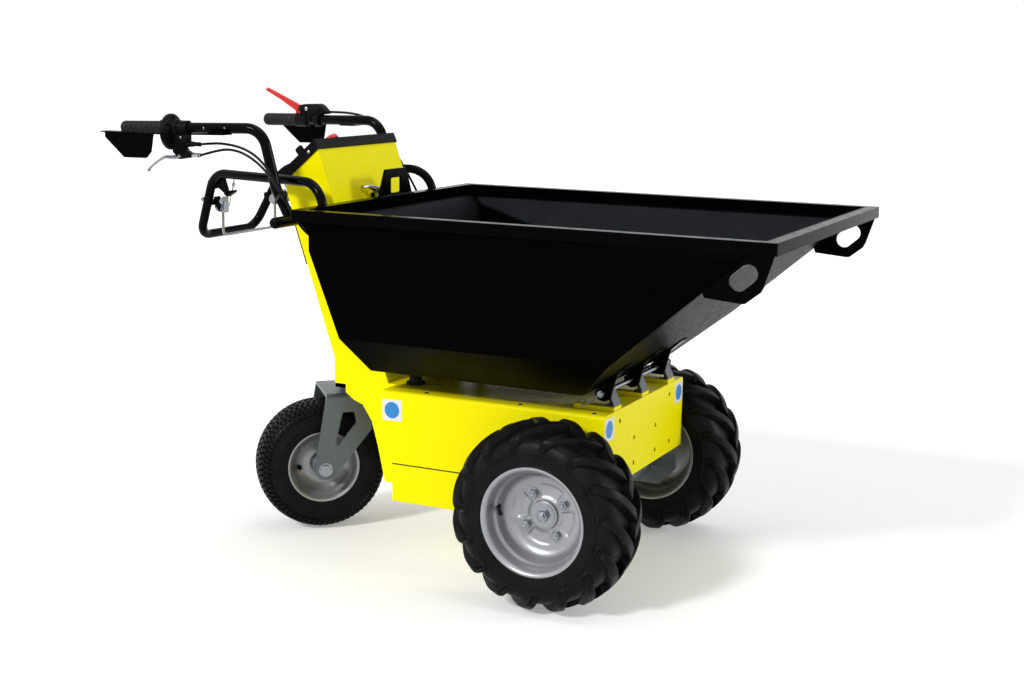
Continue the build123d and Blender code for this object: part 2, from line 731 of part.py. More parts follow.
def bail_brackets():
    """Switch plates bolted to the guard bar's sides, which the bail hangs from."""
    low_y = bail_y + bail_radius + face_gap
    high_y = low_y + bracket_plate
    shape = upright(outline([(-1018, 774), (-966, 774), (-958, 792), (-972, 815), (-1012, 815)]), low_y, high_y)
    shape += rod_y(-1012, 792, 8, high_y, 134)
    shape += rod_y(bail_x, 784, 2.5, low_y - 4, low_y)
    return both_sides(shape - bail_wire() - guard_bar())


# ---------------------------------------------------------------- hand controls and cables
def bar_bore(side, radius=bar_radius + running_fit):
    """The straight of the handlebar as a cutter, on the left (1) or right (-1)."""
    return bent_bar([(x, side * y, z) for x, y, z in (grip_end, bar_corner)], radius)


def clamp_ring(radius, length):
    return disc(radius, length) - disc(bar_radius + running_fit, length)


def throttle_housing():
    """Twist throttle: round flange hung low on the bar, and its collar."""
    body = clamp_ring(19, 42) + Pos(-9, 0, 12) * disc(42, 14)
    return on_bar(107, -1) * (body - disc(bar_radius + running_fit, 42))


control_y = 286.0             # middle plane of the brake perch


def cable_boot(route, start_x, radius):
    """Sleeve round the first stretch of a cable, back into the control that works it."""
    x, y, z = route[0]
    return bent_bar([(start_x, y, z), (x - 1.0, y, z)], radius)


def brake_perch():
    """Collar on the bar, the arm under it that carries the lever, and two cable boots."""
    arm = outline([(-988, 970), (-946, 970), (-946, 952), (-962, 946), (-952, 930), (-940, 924), (-940, 914),
                   (-970, 909), (-989, 925)])
    body = upright(arm, -control_y - 8, -control_y + 8) + on_bar(150, -1) * disc(17, 24)
    body += cable_boot(cable_routes["throttle_cable"], -965, 4.5)
    body += cable_boot(cable_routes["brake_cable"], -945, 4.5)
    return body - bar_bore(-1) - throttle_housing()


def brake_lever():
    points = [(-970, -control_y, 915), (-1020, -control_y, 912), (-1058, -control_y, 890),
              (-1068, -control_y, 876)]
    return bent_tube(points, [20, 8], 5.0) - brake_perch()


def left_lever_housing():
    """Rounded housing on the left bar, with the boot of its cable."""
    face = outline([(-1019, 974), (-1019, 1013), (-1008, 1021), (-966, 1021), (-948, 1009), (-948, 996),
                    (-964, 974)], 5.0)
    body = upright(face, 262, 292) + on_bar(109, 1) * disc(18, 60)
    body += cable_boot(cable_routes["left_cable"], -960, 4.5)
    return body - bar_bore(1)


def left_lever():
    """Tapered red blade rising from the housing's rear end."""
    blade = outline([(-1010, 986), (-1004, 1014), (-1019, 1021), (-1064, 1040), (-1114, 1061), (-1121, 1055),
                     (-1069, 1029), (-1026, 1003), (-1024, 990)])
    return upright(blade, 273, 280) - left_lever_housing() - bar_bore(1, grip_radius + 3.5)


cable_radius = 3.0
gland_face = pylon_half_width + 12.0
# Cable routes: x, y, z of each corner, from the lever to the gland on the pylon's side.
cable_routes = {
    "throttle_cable": [(-918, -284, 945), (-876, -284, 950), (-834, -284, 948), (-796, -285, 941),
                       (-762, -286, 926), (-734, -287, 903), (-711, -288, 876), (-692, -289, 849),
                       (-675, -289, 822), (-659, -287, 796), (-644, -277, 773), (-630, -259, 756),
                       (-618, -gland_face - 47, 745), (-613, -gland_face - 24, 741),
                       (-613, -gland_face, 741)],
    "brake_cable": [(-916, -286, 920), (-876, -287, 931), (-836, -289, 938), (-798, -292, 933),
                    (-764, -295, 919), (-734, -298, 900), (-709, -300, 876), (-688, -301, 851),
                    (-669, -301, 826), (-652, -300, 799), (-637, -293, 772), (-623, -276, 750),
                    (-612, -gland_face - 62, 733), (-604, -gland_face - 38, 722),
                    (-602, -gland_face - 16, 718), (-602, -gland_face, 718)],
    "left_cable": [(-940, 277, 1002), (-902, 276, 1003), (-864, 277, 1002), (-828, 281, 997),
                   (-795, 285, 983), (-768, 287, 961), (-747, 288, 933), (-729, 289, 904),
                   (-710, 288, 877), (-692, 289, 849), (-675, 289, 822), (-659, 287, 796),
                   (-644, 277, 773), (-630, 259, 756), (-618, gland_face + 47, 745),
                   (-613, gland_face + 24, 741), (-613, gland_face, 741)],
}


def cable_tube(name):
    """Cable along straight runs, each corner rounded as far as its two runs allow."""
    route = [Vector(*point) for point in cable_routes[name]]
    radii = []
    for before, here, after in zip(route, route[1:], route[2:]):
        turn = math.radians((here - before).get_angle(after - here))
        shorter = min((here - before).length, (after - here).length)
        radii.append(0.45 * shorter / math.tan(turn / 2))
    print(name, "radii", [round(radius) for radius in radii])
    path = FilletPolyline(*route, radius=radii)
    tube = sweep(path.location_at(0) * Circle(cable_radius), path=path)
    print(name, "length", round(path.length), "volume ratio",
          round(tube.volume / (math.pi * cable_radius ** 2 * path.length), 4))
    return tube


def cable_glands():
    """Round glands on the pylon's sides, where the cables end."""
    shapes = []
    for route in cable_routes.values():
        x, y, z = route[-1]
        low, high = sorted((math.copysign(pylon_half_width, y), y))
        shapes.append(rod_y(x, z, 8, low, high))
    return shapes


# ---------------------------------------------------------------- all sub-parts
nodes = {
    "chassis_box": chassis_box, "battery_tray": battery_tray, "battery_block": battery_block,
    "bump_stops": bump_stops, "hinge_brackets": hinge_brackets, "hinge_rod": hinge_rod,
    "pylon_side_plates": pylon_side_plates, "pylon_front_panel": pylon_front_panel,
    "pylon_rear_panel": pylon_rear_panel, "control_panel_cap": control_panel_cap,
    "emergency_stop": emergency_stop, "key_switch": key_switch, "skip_latch": skip_latch,
    "rear_strip": rear_strip, "castor_mount": castor_mount, "gear_motors": gear_motors,
    "handlebar_mount": handlebar_mount, "handlebar_tubes": handlebar_tubes, "grips": grips,
    "hand_guards": hand_guards, "guard_bar": guard_bar, "bail_wire": bail_wire,
    "bail_brackets": bail_brackets, "throttle_housing": throttle_housing,
    "brake_perch": brake_perch, "brake_lever": brake_lever,
    "left_lever_housing": left_lever_housing, "left_lever": left_lever,
    "cable_glands": cable_glands,
    "skip_tub": skip_tub, "skip_rim": skip_rim, "skip_lugs": skip_lugs,
    "skip_handle_plate": skip_handle_plate, "skip_hinge_ears": skip_hinge_ears,
    "castor_fork": castor_fork, "castor_axle": castor_axle, "castor_rim": castor_rim,
    "castor_tyre": castor_tyre,
}

for node, make in nodes.items():
    write(node, make())
for node in cable_routes:
    write(node, cable_tube(node))
for side, name in ((1, "left"), (-1, "right")):
    write(f"front_rim_{name}", front_rim(side))
    write(f"front_tyre_{name}", front_tyre(side))
print("origin shift", round(origin_shift, 3))
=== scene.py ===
"""Looks of the site dumper, laid out as a Blender add-on and run as a script."""
import json
import math

import bmesh
import bpy
from bpy.props import FloatProperty, FloatVectorProperty, IntProperty, PointerProperty
from mathutils import Matrix, Vector


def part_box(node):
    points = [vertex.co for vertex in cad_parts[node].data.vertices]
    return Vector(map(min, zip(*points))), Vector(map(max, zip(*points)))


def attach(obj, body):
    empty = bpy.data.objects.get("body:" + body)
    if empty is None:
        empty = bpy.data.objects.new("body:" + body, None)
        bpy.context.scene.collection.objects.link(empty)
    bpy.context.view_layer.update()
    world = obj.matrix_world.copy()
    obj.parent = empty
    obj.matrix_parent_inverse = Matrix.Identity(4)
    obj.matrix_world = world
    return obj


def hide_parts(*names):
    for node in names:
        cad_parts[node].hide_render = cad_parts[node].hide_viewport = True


bl_info = {
    "name": "Site Dumper Finish",
    "version": (1, 0, 0),
    "blender": (4, 5, 0),
    "location": "View3D > Sidebar > Dumper",
    "description": "Paint, tyres, fastenings and studio for the packed site dumper",
    "category": "Object",
}

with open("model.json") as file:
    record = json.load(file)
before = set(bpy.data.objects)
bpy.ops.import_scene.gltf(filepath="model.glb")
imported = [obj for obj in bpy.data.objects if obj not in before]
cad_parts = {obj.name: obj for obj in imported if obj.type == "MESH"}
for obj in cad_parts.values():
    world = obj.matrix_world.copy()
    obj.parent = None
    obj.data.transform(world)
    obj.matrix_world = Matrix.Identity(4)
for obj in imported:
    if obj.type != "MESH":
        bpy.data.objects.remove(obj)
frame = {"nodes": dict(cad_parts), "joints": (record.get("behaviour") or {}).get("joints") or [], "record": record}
NODES = frame["nodes"]
BODY_OF = {node: body for body, group in frame["record"]["behaviour"]["bodies"].items() for node in group}
SLOT_OF = {part["node"]: part["material_slot"] for part in frame["record"]["subparts"]}
JOINTS = {joint["name"]: joint for joint in frame["joints"]}
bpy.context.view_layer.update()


# ---------------------------------------------------------------- properties
def colour(name, default):
    """Colour setting of one finish."""
    return FloatVectorProperty(name=name, description="Colour of this finish", subtype="COLOR",
                               size=3, min=0.0, max=1.0, default=default)


def length(name, default, description):
    """Length setting in metres."""
    return FloatProperty(name=name, description=description, default=default, unit="LENGTH", min=0.0)


class DumperPaint(bpy.types.PropertyGroup):
    """Colours of the dumper's finishes."""
    yellow: colour("Chassis yellow", (1.0, 0.89, 0.0))
    skip_black: colour("Skip black", (0.0008, 0.0008, 0.0009))
    # Grey for the skip's upward faces: partly dust, partly a painted sheen for the sky's reflection from above.
    skip_dust_and_sheen: colour("Skip dust and sheen", (0.018, 0.0205, 0.0235))
    tube_black: colour("Tube black", (0.0016, 0.0017, 0.0019))
    plastic_black: colour("Plastic black", (0.0030, 0.0032, 0.0036))
    tyre_black: colour("Tyre black", (0.0036, 0.0038, 0.0041))
    grip_black: colour("Grip black", (0.0075, 0.0080, 0.0085))
    fork_grey: colour("Fork grey", (0.11, 0.13, 0.14))
    rim_silver: colour("Rim silver", (0.33, 0.34, 0.36))
    zinc: colour("Zinc", (0.29, 0.31, 0.335))
    chrome: colour("Chrome", (0.42, 0.44, 0.47))
    brass: colour("Brass", (0.42, 0.29, 0.08))
    red: colour("Red plastic", (0.62, 0.012, 0.010))
    sign_white: colour("Sign white", (0.80, 0.80, 0.80))
    sign_blue: colour("Sign blue", (0.02, 0.23, 0.60))


class DumperTyres(bpy.types.PropertyGroup):
    """Sizes of the tyres' tread."""
    lug_count: IntProperty(name="Lugs a side", description="Tread bars on each side of a front tyre",
                           default=15, min=3, max=40)
    lug_sweep: FloatProperty(name="Lug sweep", description="Turn of a bar from shoulder to middle",
                             default=math.radians(26), subtype="ANGLE")
    lug_width: length("Lug width", 0.019, "Width of a tread bar along the tread")
    lug_height: length("Lug height", 0.018, "Height of a tread bar above the carcass")
    block_count: IntProperty(name="Castor blocks", description="Blocks in each row of the castor tyre",
                             default=68, min=8, max=120)
    block_height: length("Castor block height", 0.0045, "Height of the castor tyre's blocks")


class DumperEdges(bpy.types.PropertyGroup):
    """Edge rounds of the dumper's parts."""
    sheet: length("Sheet edge", 0.0012, "Round on the edges of folded sheet")
    tube: length("Tube edge", 0.0025, "Round on the rim tube's edges")
    plate: length("Plate edge", 0.0009, "Round on the edges of cut plate")


# ---------------------------------------------------------------- materials
def node_material(name):
    """Empty node material with its shader, output and object coordinates."""
    material = bpy.data.materials.new(name)
    material.use_nodes = True
    tree = material.node_tree
    shader = tree.nodes["Principled BSDF"]
    coords = tree.nodes.new("ShaderNodeTexCoord")
    return material, tree, shader, coords.outputs["Object"]


def noise(tree, vector, scale, detail=3.0, roughness=0.55):
    texture = tree.nodes.new("ShaderNodeTexNoise")
    texture.inputs["Scale"].default_value = scale
    texture.inputs["Detail"].default_value = detail
    texture.inputs["Roughness"].default_value = roughness
    tree.links.new(vector, texture.inputs["Vector"])
    return texture.outputs["Fac"]


def mapped(tree, value, low, high, start=0.0, end=1.0):
    """Value between start and end carried to low and high."""
    node = tree.nodes.new("ShaderNodeMapRange")
    node.inputs["From Min"].default_value = start
    node.inputs["From Max"].default_value = end
    node.inputs["To Min"].default_value = low
    node.inputs["To Max"].default_value = high
    tree.links.new(value, node.inputs["Value"])
    return node.outputs["Result"]


def mixed(tree, factor, first, second):
    """Colour between two fixed colours by a factor."""
    node = tree.nodes.new("ShaderNodeMix")
    node.data_type = "RGBA"
    node.inputs[6].default_value = (*first, 1.0)
    node.inputs[7].default_value = (*second, 1.0)
    tree.links.new(factor, node.inputs[0])
    return node.outputs[2]


def bump(tree, shader, height, strength, distance):
    node = tree.nodes.new("ShaderNodeBump")
    node.inputs["Strength"].default_value = strength
    node.inputs["Distance"].default_value = distance
    tree.links.new(height, node.inputs["Height"])
    tree.links.new(node.outputs["Normal"], shader.inputs["Normal"])


def shade(tone, share):
    return tuple(min(1.0, channel * share) for channel in tone)


def coated(name, tone, gloss, peel, drift=0.06):
    """Powder coat or moulded skin: orange-peel bump, drifting gloss and slight colour drift."""
    material, tree, shader, place = node_material(name)
    broad = noise(tree, place, 9.0)
    tree.links.new(mixed(tree, broad, shade(tone, 1 - drift), shade(tone, 1 + drift)),
                   shader.inputs["Base Color"])
    fine = noise(tree, place, 60.0, 4.0)
    tree.links.new(mapped(tree, fine, gloss - 0.05, gloss + 0.07, 0.3, 0.7), shader.inputs["Roughness"])
    bump(tree, shader, noise(tree, place, 620.0, 2.0), peel, 0.0006)
    return material


def dust_and_sheen_inside(name, tone, dust_and_sheen):
    """Powder coat whose upward faces, such as the skip's inside, turn a lighter grey: partly dust, partly a
    painted sheen for the sky's reflection from above.
    """
    material = coated(name, tone, 0.34, 0.16)
    tree = material.node_tree
    shader = tree.nodes["Principled BSDF"]
    coords = tree.nodes.new("ShaderNodeTexCoord")
    parts = tree.nodes.new("ShaderNodeSeparateXYZ")
    tree.links.new(coords.outputs["Normal"], parts.inputs["Vector"])
    # Upward faces get a lighter grey layer: partly dust, partly a painted sheen standing for the sky's reflection
    # from above.
    upward = mapped(tree, parts.outputs["Z"], 0.0, 1.0, 0.005, 0.12)
    layer = tree.nodes.new("ShaderNodeMix")
    layer.data_type = "RGBA"
    tree.links.new(upward, layer.inputs[0])
    paint = shader.inputs["Base Color"].links[0].from_socket
    tree.links.new(paint, layer.inputs[6])
    specks = noise(tree, coords.outputs["Object"], 14.0, 5.0, 0.6)
    tree.links.new(mixed(tree, specks, shade(dust_and_sheen, 0.7), shade(dust_and_sheen, 1.3)), layer.inputs[7])
    tree.links.new(layer.outputs[2], shader.inputs["Base Color"])
    return material


def metal(name, tone, gloss, grain):
    """Plated or painted metal with fine streaks in its gloss."""
    material, tree, shader, place = node_material(name)
    shader.inputs["Metallic"].default_value = 1.0
    broad = noise(tree, place, 34.0, 4.0)
    tree.links.new(mixed(tree, broad, shade(tone, 0.86), shade(tone, 1.08)), shader.inputs["Base Color"])
    tree.links.new(mapped(tree, noise(tree, place, 90.0, 3.0), gloss - 0.05, gloss + 0.08, 0.3, 0.7),
                   shader.inputs["Roughness"])
    bump(tree, shader, noise(tree, place, 420.0, 2.0), grain, 0.0003)
    return material


def rubber(name, tone, gloss):
    """Tyre rubber: dusty patches, fine pores and a soft sheen."""
    material, tree, shader, place = node_material(name)
    patches = noise(tree, place, 22.0, 5.0, 0.62)
    tree.links.new(mixed(tree, mapped(tree, patches, 0.0, 1.0, 0.38, 0.66), shade(tone, 0.72),
                         shade(tone, 1.75)), shader.inputs["Base Color"])
    tree.links.new(mapped(tree, noise(tree, place, 90.0, 4.0), gloss - 0.12, gloss + 0.14, 0.3, 0.7),
                   shader.inputs["Roughness"])
    bump(tree, shader, noise(tree, place, 480.0, 5.0, 0.7), 0.35, 0.0008)
    return material


MATERIALS = {}


COATS = (  # name, colour setting, gloss, peel, colour drift
    ("yellow_paint", "yellow", 0.30, 0.10, 0.02), ("black_paint", "skip_black", 0.34, 0.16, 0.06),
    ("plate_paint", "skip_black", 0.18, 0.06, 0.06), ("tube_paint", "tube_black", 0.10, 0.02, 0.06),
    ("black_plastic", "plastic_black", 0.48, 0.30, 0.06), ("red_plastic", "red", 0.30, 0.06, 0.06),
    ("grey_paint", "fork_grey", 0.36, 0.12, 0.06), ("rim_paint", "rim_silver", 0.34, 0.10, 0.06),
    ("cable_black", "plastic_black", 0.38, 0.05, 0.06), ("sign_white", "sign_white", 0.36, 0.04, 0.01),
    ("sign_blue", "sign_blue", 0.36, 0.04, 0.02))
METALS = (  # name, colour setting, share of it, gloss, grain
    # The second zinc is the zinc colour at 22 percent: a painted shade standing for the dark reflections the hinge
    # brackets show.
    ("zinc", "zinc", 1.0, 0.22, 0.03), ("dark_zinc", "zinc", 0.22, 0.16, 0.03),
    ("chrome", "chrome", 1.0, 0.12, 0.02), ("brass", "brass", 1.0, 0.24, 0.03))
RUBBERS = (("tyre", "tyre_black", 0.40), ("rubber", "grip_black", 0.62))  # name, colour setting, gloss
METALLIC = {"grey_paint": 0.60, "rim_paint": 0.60}
IOR = {"black_paint": 1.05, "skip_paint": 1.05, "plate_paint": 1.08, "tube_paint": 1.13,
       "black_plastic": 1.16, "rubber": 1.28, "tyre": 1.18, "cable_black": 1.20, "yellow_paint": 1.16}


def make_materials(paint):
    """One material for each slot of the record, and the small extra finishes."""
    for name, tone, *rest in COATS:
        MATERIALS[name] = coated(name, getattr(paint, tone), *rest)
    MATERIALS["skip_paint"] = dust_and_sheen_inside("skip_paint", paint.skip_black, paint.skip_dust_and_sheen)
    for name, tone, share, *rest in METALS:
        MATERIALS[name] = metal(name, shade(getattr(paint, tone), share), *rest)
    for name, tone, gloss in RUBBERS:
        MATERIALS[name] = rubber(name, getattr(paint, tone), gloss)
    for label, values in (("Metallic", METALLIC), ("IOR", IOR)):
        for name, value in values.items():
            MATERIALS[name].node_tree.nodes["Principled BSDF"].inputs[label].default_value = value


# ---------------------------------------------------------------- mesh helpers
MERGE_DISTANCE = 0.000001
CAD_MERGE_DISTANCE = 0.00002
FLAT_ANGLE = math.radians(0.6)
QUARTER_X = Matrix.Rotation(math.pi / 2, 3, "X")


def mesh_of(bm, name="part"):
    """Mesh of a form that isn't needed any more."""
    mesh = bpy.data.meshes.new(name)
    bm.to_mesh(mesh)
    bm.free()
    return mesh


def piece_from(bm, name, material, body, smooth_angle=35.0):
    """Finished object from a bmesh: smooth faces, edges sharper than an angle kept crisp."""
    mesh = mesh_of(bm, name)
    mesh.shade_smooth()
    mesh.set_sharp_from_angle(angle=math.radians(smooth_angle))
    mesh.materials.append(MATERIALS[material])
    piece = bpy.data.objects.new(name, mesh)
    bpy.context.scene.collection.objects.link(piece)
    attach(piece, body)
    return piece


def plain_mesh(piece):
    """Turns the piece's modifiers into mesh."""
    bpy.context.view_layer.update()
    evaluated = piece.evaluated_get(bpy.context.evaluated_depsgraph_get())
    mesh = bpy.data.meshes.new_from_object(evaluated)
    piece.modifiers.clear()
    piece.data = mesh
    return mesh


def cad_copy(node):
    """Merged copy of a CAD node's triangles, its flat stretches joined into single faces."""
    bm = bmesh.new()
    bm.from_mesh(NODES[node].data)
    bmesh.ops.remove_doubles(bm, verts=bm.verts, dist=CAD_MERGE_DISTANCE)
    bmesh.ops.dissolve_limit(bm, angle_limit=FLAT_ANGLE, verts=bm.verts, edges=bm.edges,
                             use_dissolve_boundaries=False, delimit=set())
    bmesh.ops.triangulate(bm, faces=[face for face in bm.faces if len(face.verts) > 4])
    return bm


def dress(node, material=None, edge=0.0, steps=2, name=None, smooth_angle=32.0):
    """Piece of a CAD node's own form with its edges rounded, standing for that node."""
    bm = cad_copy(node)
    slot = SLOT_OF[node]
    piece = piece_from(bm, name or f"{node}_finish", material or slot, BODY_OF[node], smooth_angle)
    if edge:
        modifier = piece.modifiers.new("round", "BEVEL")
        modifier.width = edge
        modifier.segments = steps
        modifier.limit_method = "ANGLE"
        modifier.angle_limit = math.radians(smooth_angle)
        modifier.harden_normals = True
        modifier.use_clamp_overlap = True
        plain_mesh(piece)
    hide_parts(node)
    return piece


def ring_faces(bm, rings, closed=True):
    """Faces between successive rings of points; closed rings wrap round."""
    rows = [[bm.verts.new(point) for point in ring] for ring in rings]
    count = len(rows[0])
    last = count if closed else count - 1
    for low, high in zip(rows, rows[1:]):
        for i in range(last):
            j = (i + 1) % count
            bm.faces.new((low[i], low[j], high[j], high[i]))
    return rows


def sealed(bm):
    """The form with its seams and poles merged and its faces turned outwards."""
    bmesh.ops.remove_doubles(bm, verts=bm.verts, dist=MERGE_DISTANCE)
    bmesh.ops.recalc_face_normals(bm, faces=bm.faces)
    return bm


def turned(bm, profile, segments):
    """Surface turned about the y axis from (y, radius) points."""
    rings = []
    for y, radius in profile:
        rings.append([(radius * math.cos(2 * math.pi * i / segments), y,
                       radius * math.sin(2 * math.pi * i / segments)) for i in range(segments)])
    ring_faces(bm, rings)
    return sealed(bm)


def mirror_profile(half):
    """Other half of a (y, radius) profile, running back from its end."""
    return [(-y, radius) for y, radius in reversed(half)]


def arc(centre, radius, start, end, steps):
    """Points of an arc in a flat plane, angles in degrees."""
    points = []
    for i in range(steps + 1):
        angle = math.radians(start + (end - start) * i / steps)
        points.append((centre[0] + radius * math.cos(angle), centre[1] + radius * math.sin(angle)))
    return points


def add_prism(bm, outline, low, high, place=Matrix()):
    """Closed prism from an (x, y) outline between two heights, moved by a matrix."""
    bottom = [bm.verts.new(place @ Vector((x, y, low))) for x, y in outline]
    top = [bm.verts.new(place @ Vector((x, y, high))) for x, y in outline]
    count = len(outline)
    bm.faces.new(bottom[::-1])
    bm.faces.new(top)
    for i in range(count):
        j = (i + 1) % count
        bm.faces.new((bottom[i], bottom[j], top[j], top[i]))


def polygon(radius, sides, turn=0.0):
    return [(radius * math.cos(turn + 2 * math.pi * i / sides),
             radius * math.sin(turn + 2 * math.pi * i / sides)) for i in range(sides)]


def facing(origin, normal, up=(0.0, 0.0, 1.0)):
    """Matrix whose z axis points along a normal."""
    z = Vector(normal).normalized()
    x = Vector(up).cross(z)
    if x.length < 0.01:
        x = Vector((1.0, 0.0, 0.0))
    x.normalize()
    y = z.cross(x)
    matrix = Matrix((x, y, z)).transposed().to_4x4()
    matrix.translation = Vector(origin)
    return matrix


# ---------------------------------------------------------------- geometry nodes
def socket_id(tree, name):
    """Identifier of a tree's named input."""
    for item in tree.interface.items_tree:
        if item.item_type == "SOCKET" and item.in_out == "INPUT" and item.name == name:
            return item.identifier
    raise RuntimeError(f"the tree has no input named {name}")


def new_tree(name, settings):
    """Geometry tree with a mesh in, a mesh out, a material and its own (name, kind) inputs."""
    tree = bpy.data.node_groups.new(name, "GeometryNodeTree")
    for label, kind in (("Geometry", "Geometry"), *settings, ("Material", "Material")):
        tree.interface.new_socket(label, in_out="INPUT", socket_type=f"NodeSocket{kind}")
    tree.interface.new_socket("Geometry", in_out="OUTPUT", socket_type="NodeSocketGeometry")
    return tree


def made_real(tree, source, spread):
    """Ends a tree: its instances made real, with one material."""
    real = tree.nodes.new("GeometryNodeRealizeInstances")
    paint = tree.nodes.new("GeometryNodeSetMaterial")
    result = tree.nodes.new("NodeGroupOutput")
    tree.links.new(spread.outputs["Instances"], real.inputs["Geometry"])
    tree.links.new(real.outputs["Geometry"], paint.inputs["Geometry"])
    tree.links.new(source.outputs["Material"], paint.inputs["Material"])
    tree.links.new(paint.outputs["Geometry"], result.inputs["Geometry"])


def repeat_tree():
    """Copies of the piece's mesh turned about the y axis, then made real with one material."""
    tree = new_tree("Repeat Round Axle", (("Count", "Int"), ("Start", "Float")))
    make = tree.nodes.new
    link = tree.links.new
    source = make("NodeGroupInput")
    line = make("GeometryNodeMeshLine")
    line.inputs["Offset"].default_value = (0.0, 0.0, 0.0)
    link(source.outputs["Count"], line.inputs["Count"])
    spread = make("GeometryNodeInstanceOnPoints")
    link(line.outputs["Mesh"], spread.inputs["Points"])
    link(source.outputs["Geometry"], spread.inputs["Instance"])
    index = make("GeometryNodeInputIndex")
    share = make("ShaderNodeMath")
    share.operation = "DIVIDE"
    link(index.outputs["Index"], share.inputs[0])
    link(source.outputs["Count"], share.inputs[1])
    turn = make("ShaderNodeMath")
    turn.operation = "MULTIPLY_ADD"
    turn.inputs[1].default_value = 2 * math.pi
    link(share.outputs["Value"], turn.inputs[0])
    link(source.outputs["Start"], turn.inputs[2])
    angles = make("ShaderNodeCombineXYZ")
    link(turn.outputs["Value"], angles.inputs["Y"])
    link(angles.outputs["Vector"], spread.inputs["Rotation"])
    made_real(tree, source, spread)
    return tree


def scatter_tree():
    """The piece's mesh set at every point of another object, along its normals."""
    tree = new_tree("Set At Points", (("Points", "Object"),))
    make = tree.nodes.new
    link = tree.links.new
    source = make("NodeGroupInput")
    places = make("GeometryNodeObjectInfo")
    link(source.outputs["Points"], places.inputs["Object"])
    spread = make("GeometryNodeInstanceOnPoints")
    link(places.outputs["Geometry"], spread.inputs["Points"])
    link(source.outputs["Geometry"], spread.inputs["Instance"])
    normal = make("GeometryNodeInputNamedAttribute")
    normal.data_type = "FLOAT_VECTOR"
    normal.inputs["Name"].default_value = "facing"
    align = make("FunctionNodeAlignRotationToVector")
    align.axis = "Z"
    link(normal.outputs["Attribute"], align.inputs["Vector"])
    link(align.outputs["Rotation"], spread.inputs["Rotation"])
    made_real(tree, source, spread)
    return tree


TREES = {}


def spread_by(tree, bm, name, material, **settings):
    """Object whose mesh is what one of the trees makes of a form, and that mesh."""
    piece = bpy.data.objects.new(name, mesh_of(bm, name))
    bpy.context.scene.collection.objects.link(piece)
    modifier = piece.modifiers.new("spread", "NODES")
    modifier.node_group = TREES[tree]
    for label, value in (*settings.items(), ("Material", MATERIALS[material])):
        modifier[socket_id(TREES[tree], label)] = value
    return piece, plain_mesh(piece)


def repeated_round(bm, name, count, start, material):
    """Mesh made of copies of a form turned about the y axis through the origin."""
    piece, result = spread_by("repeat", bm, name, material, Count=count, Start=start)
    bpy.data.objects.remove(piece)
    return result


def set_at_points(bm, name, points, material, body):
    """One piece made of copies of a form at a list of (place, normal)."""
    cloud = bpy.data.meshes.new(f"{name}_points")
    cloud.from_pydata([place for place, _ in points], [], [])
    attribute = cloud.attributes.new("facing", "FLOAT_VECTOR", "POINT")
    for row, (_, normal) in zip(attribute.data, points):
        row.vector = Vector(normal).normalized()
    holder = bpy.data.objects.new(f"{name}_points", cloud)
    bpy.context.scene.collection.objects.link(holder)
    piece, result = spread_by("scatter", bm, name, material, Points=holder)
    bpy.data.objects.remove(holder)
    result.shade_smooth()
    result.set_sharp_from_angle(angle=math.radians(32))
    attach(piece, body)
    return piece


def post(profile, segments=24):
    """Form turned about the z axis from (height, radius) points."""
    bm = turned(bmesh.new(), profile, segments)
    bmesh.ops.rotate(bm, verts=bm.verts, cent=(0, 0, 0), matrix=QUARTER_X)
    return bm


def button_head(radius, height):
    """Domed screw head with a round socket, standing on z = 0."""
    return post([(0.0, radius), (height * 0.35, radius), (height * 0.8, radius * 0.72),
                 (height, radius * 0.42), (height * 0.55, radius * 0.38), (height * 0.55, 0.0)], 20)


def hex_bolt(across, height, washer, washer_height, stud=0.0):
    """Hexagon head or nut on a washer, standing on z = 0, with the stud's end above it."""
    bm = post([(0.0, washer), (washer_height, washer), (washer_height, across * 0.4)], 28)
    corner = across / 2 / math.cos(math.pi / 6)
    low = washer_height
    rings = [polygon(corner, 6), polygon(corner, 6), polygon(corner * 0.93, 6)]
    heights = [low, low + height * 0.9, low + height]
    rows = ring_faces(bm, [[(x, y, z) for x, y in ring] for ring, z in zip(rings, heights)])
    bm.faces.new(rows[-1])
    if stud:
        radius = across * 0.31
        top = low + height + stud
        rows = ring_faces(bm, [[(x, y, z) for x, y in polygon(share * radius, 16)]
                               for share, z in ((1, low + height), (1, top - 0.001), (0.8, top))])
        bm.faces.new(rows[-1])
    return bm


def smooth_rows(rows, steps):
    """Rows of numbers run through by a smooth curve, a few steps between each pair."""
    result = []
    for i in range(len(rows) - 1):
        around = [rows[max(0, min(len(rows) - 1, i + k))] for k in (-1, 0, 1, 2)]
        for step in range(steps):
            t = step / steps
            result.append(tuple(
                0.5 * (2 * b + (c - a) * t + (2 * a - 5 * b + 4 * c - d) * t * t
                       + (3 * b - a - 3 * c + d) * t ** 3) for a, b, c, d in zip(*around)))
    result.append(tuple(rows[-1]))
    return result


# ---------------------------------------------------------------- places
AXLE = Vector(JOINTS["left_wheel_spin"]["pos_m"])
CASTOR_AXLE = Vector(JOINTS["castor_spin"]["pos_m"])
CASTOR_LINE = Vector(JOINTS["castor_spin"]["axis"]).normalized()
HINGE = Vector(JOINTS["skip_tip"]["pos_m"])


def mm(x, y, z):
    """Place given in millimetres from the front axle's line, the middle plane and the ground."""
    return Vector((x / 1000 + AXLE.x, y / 1000, z / 1000))


def wheel_place(side):
    """Matrix that carries a wheel drawn with its outer face towards +y to its side."""
    turn = Matrix.Identity(4) if side > 0 else Matrix.Scale(-1, 4, (0, 1, 0))
    return Matrix.Translation((AXLE.x, side * AXLE.y, AXLE.z)) @ turn


def castor_place():
    """Matrix that carries a wheel drawn about the y axis onto the castor's axle."""
    angle = math.atan2(-CASTOR_LINE.x, CASTOR_LINE.y)
    return Matrix.Translation(CASTOR_AXLE) @ Matrix.Rotation(angle, 4, "Z")


def on_place(mesh, place):
    """Moves a mesh, turning its faces back outwards where the move mirrors it."""
    mesh.transform(place)
    if place.determinant() < 0:
        mesh.flip_normals()
    return mesh


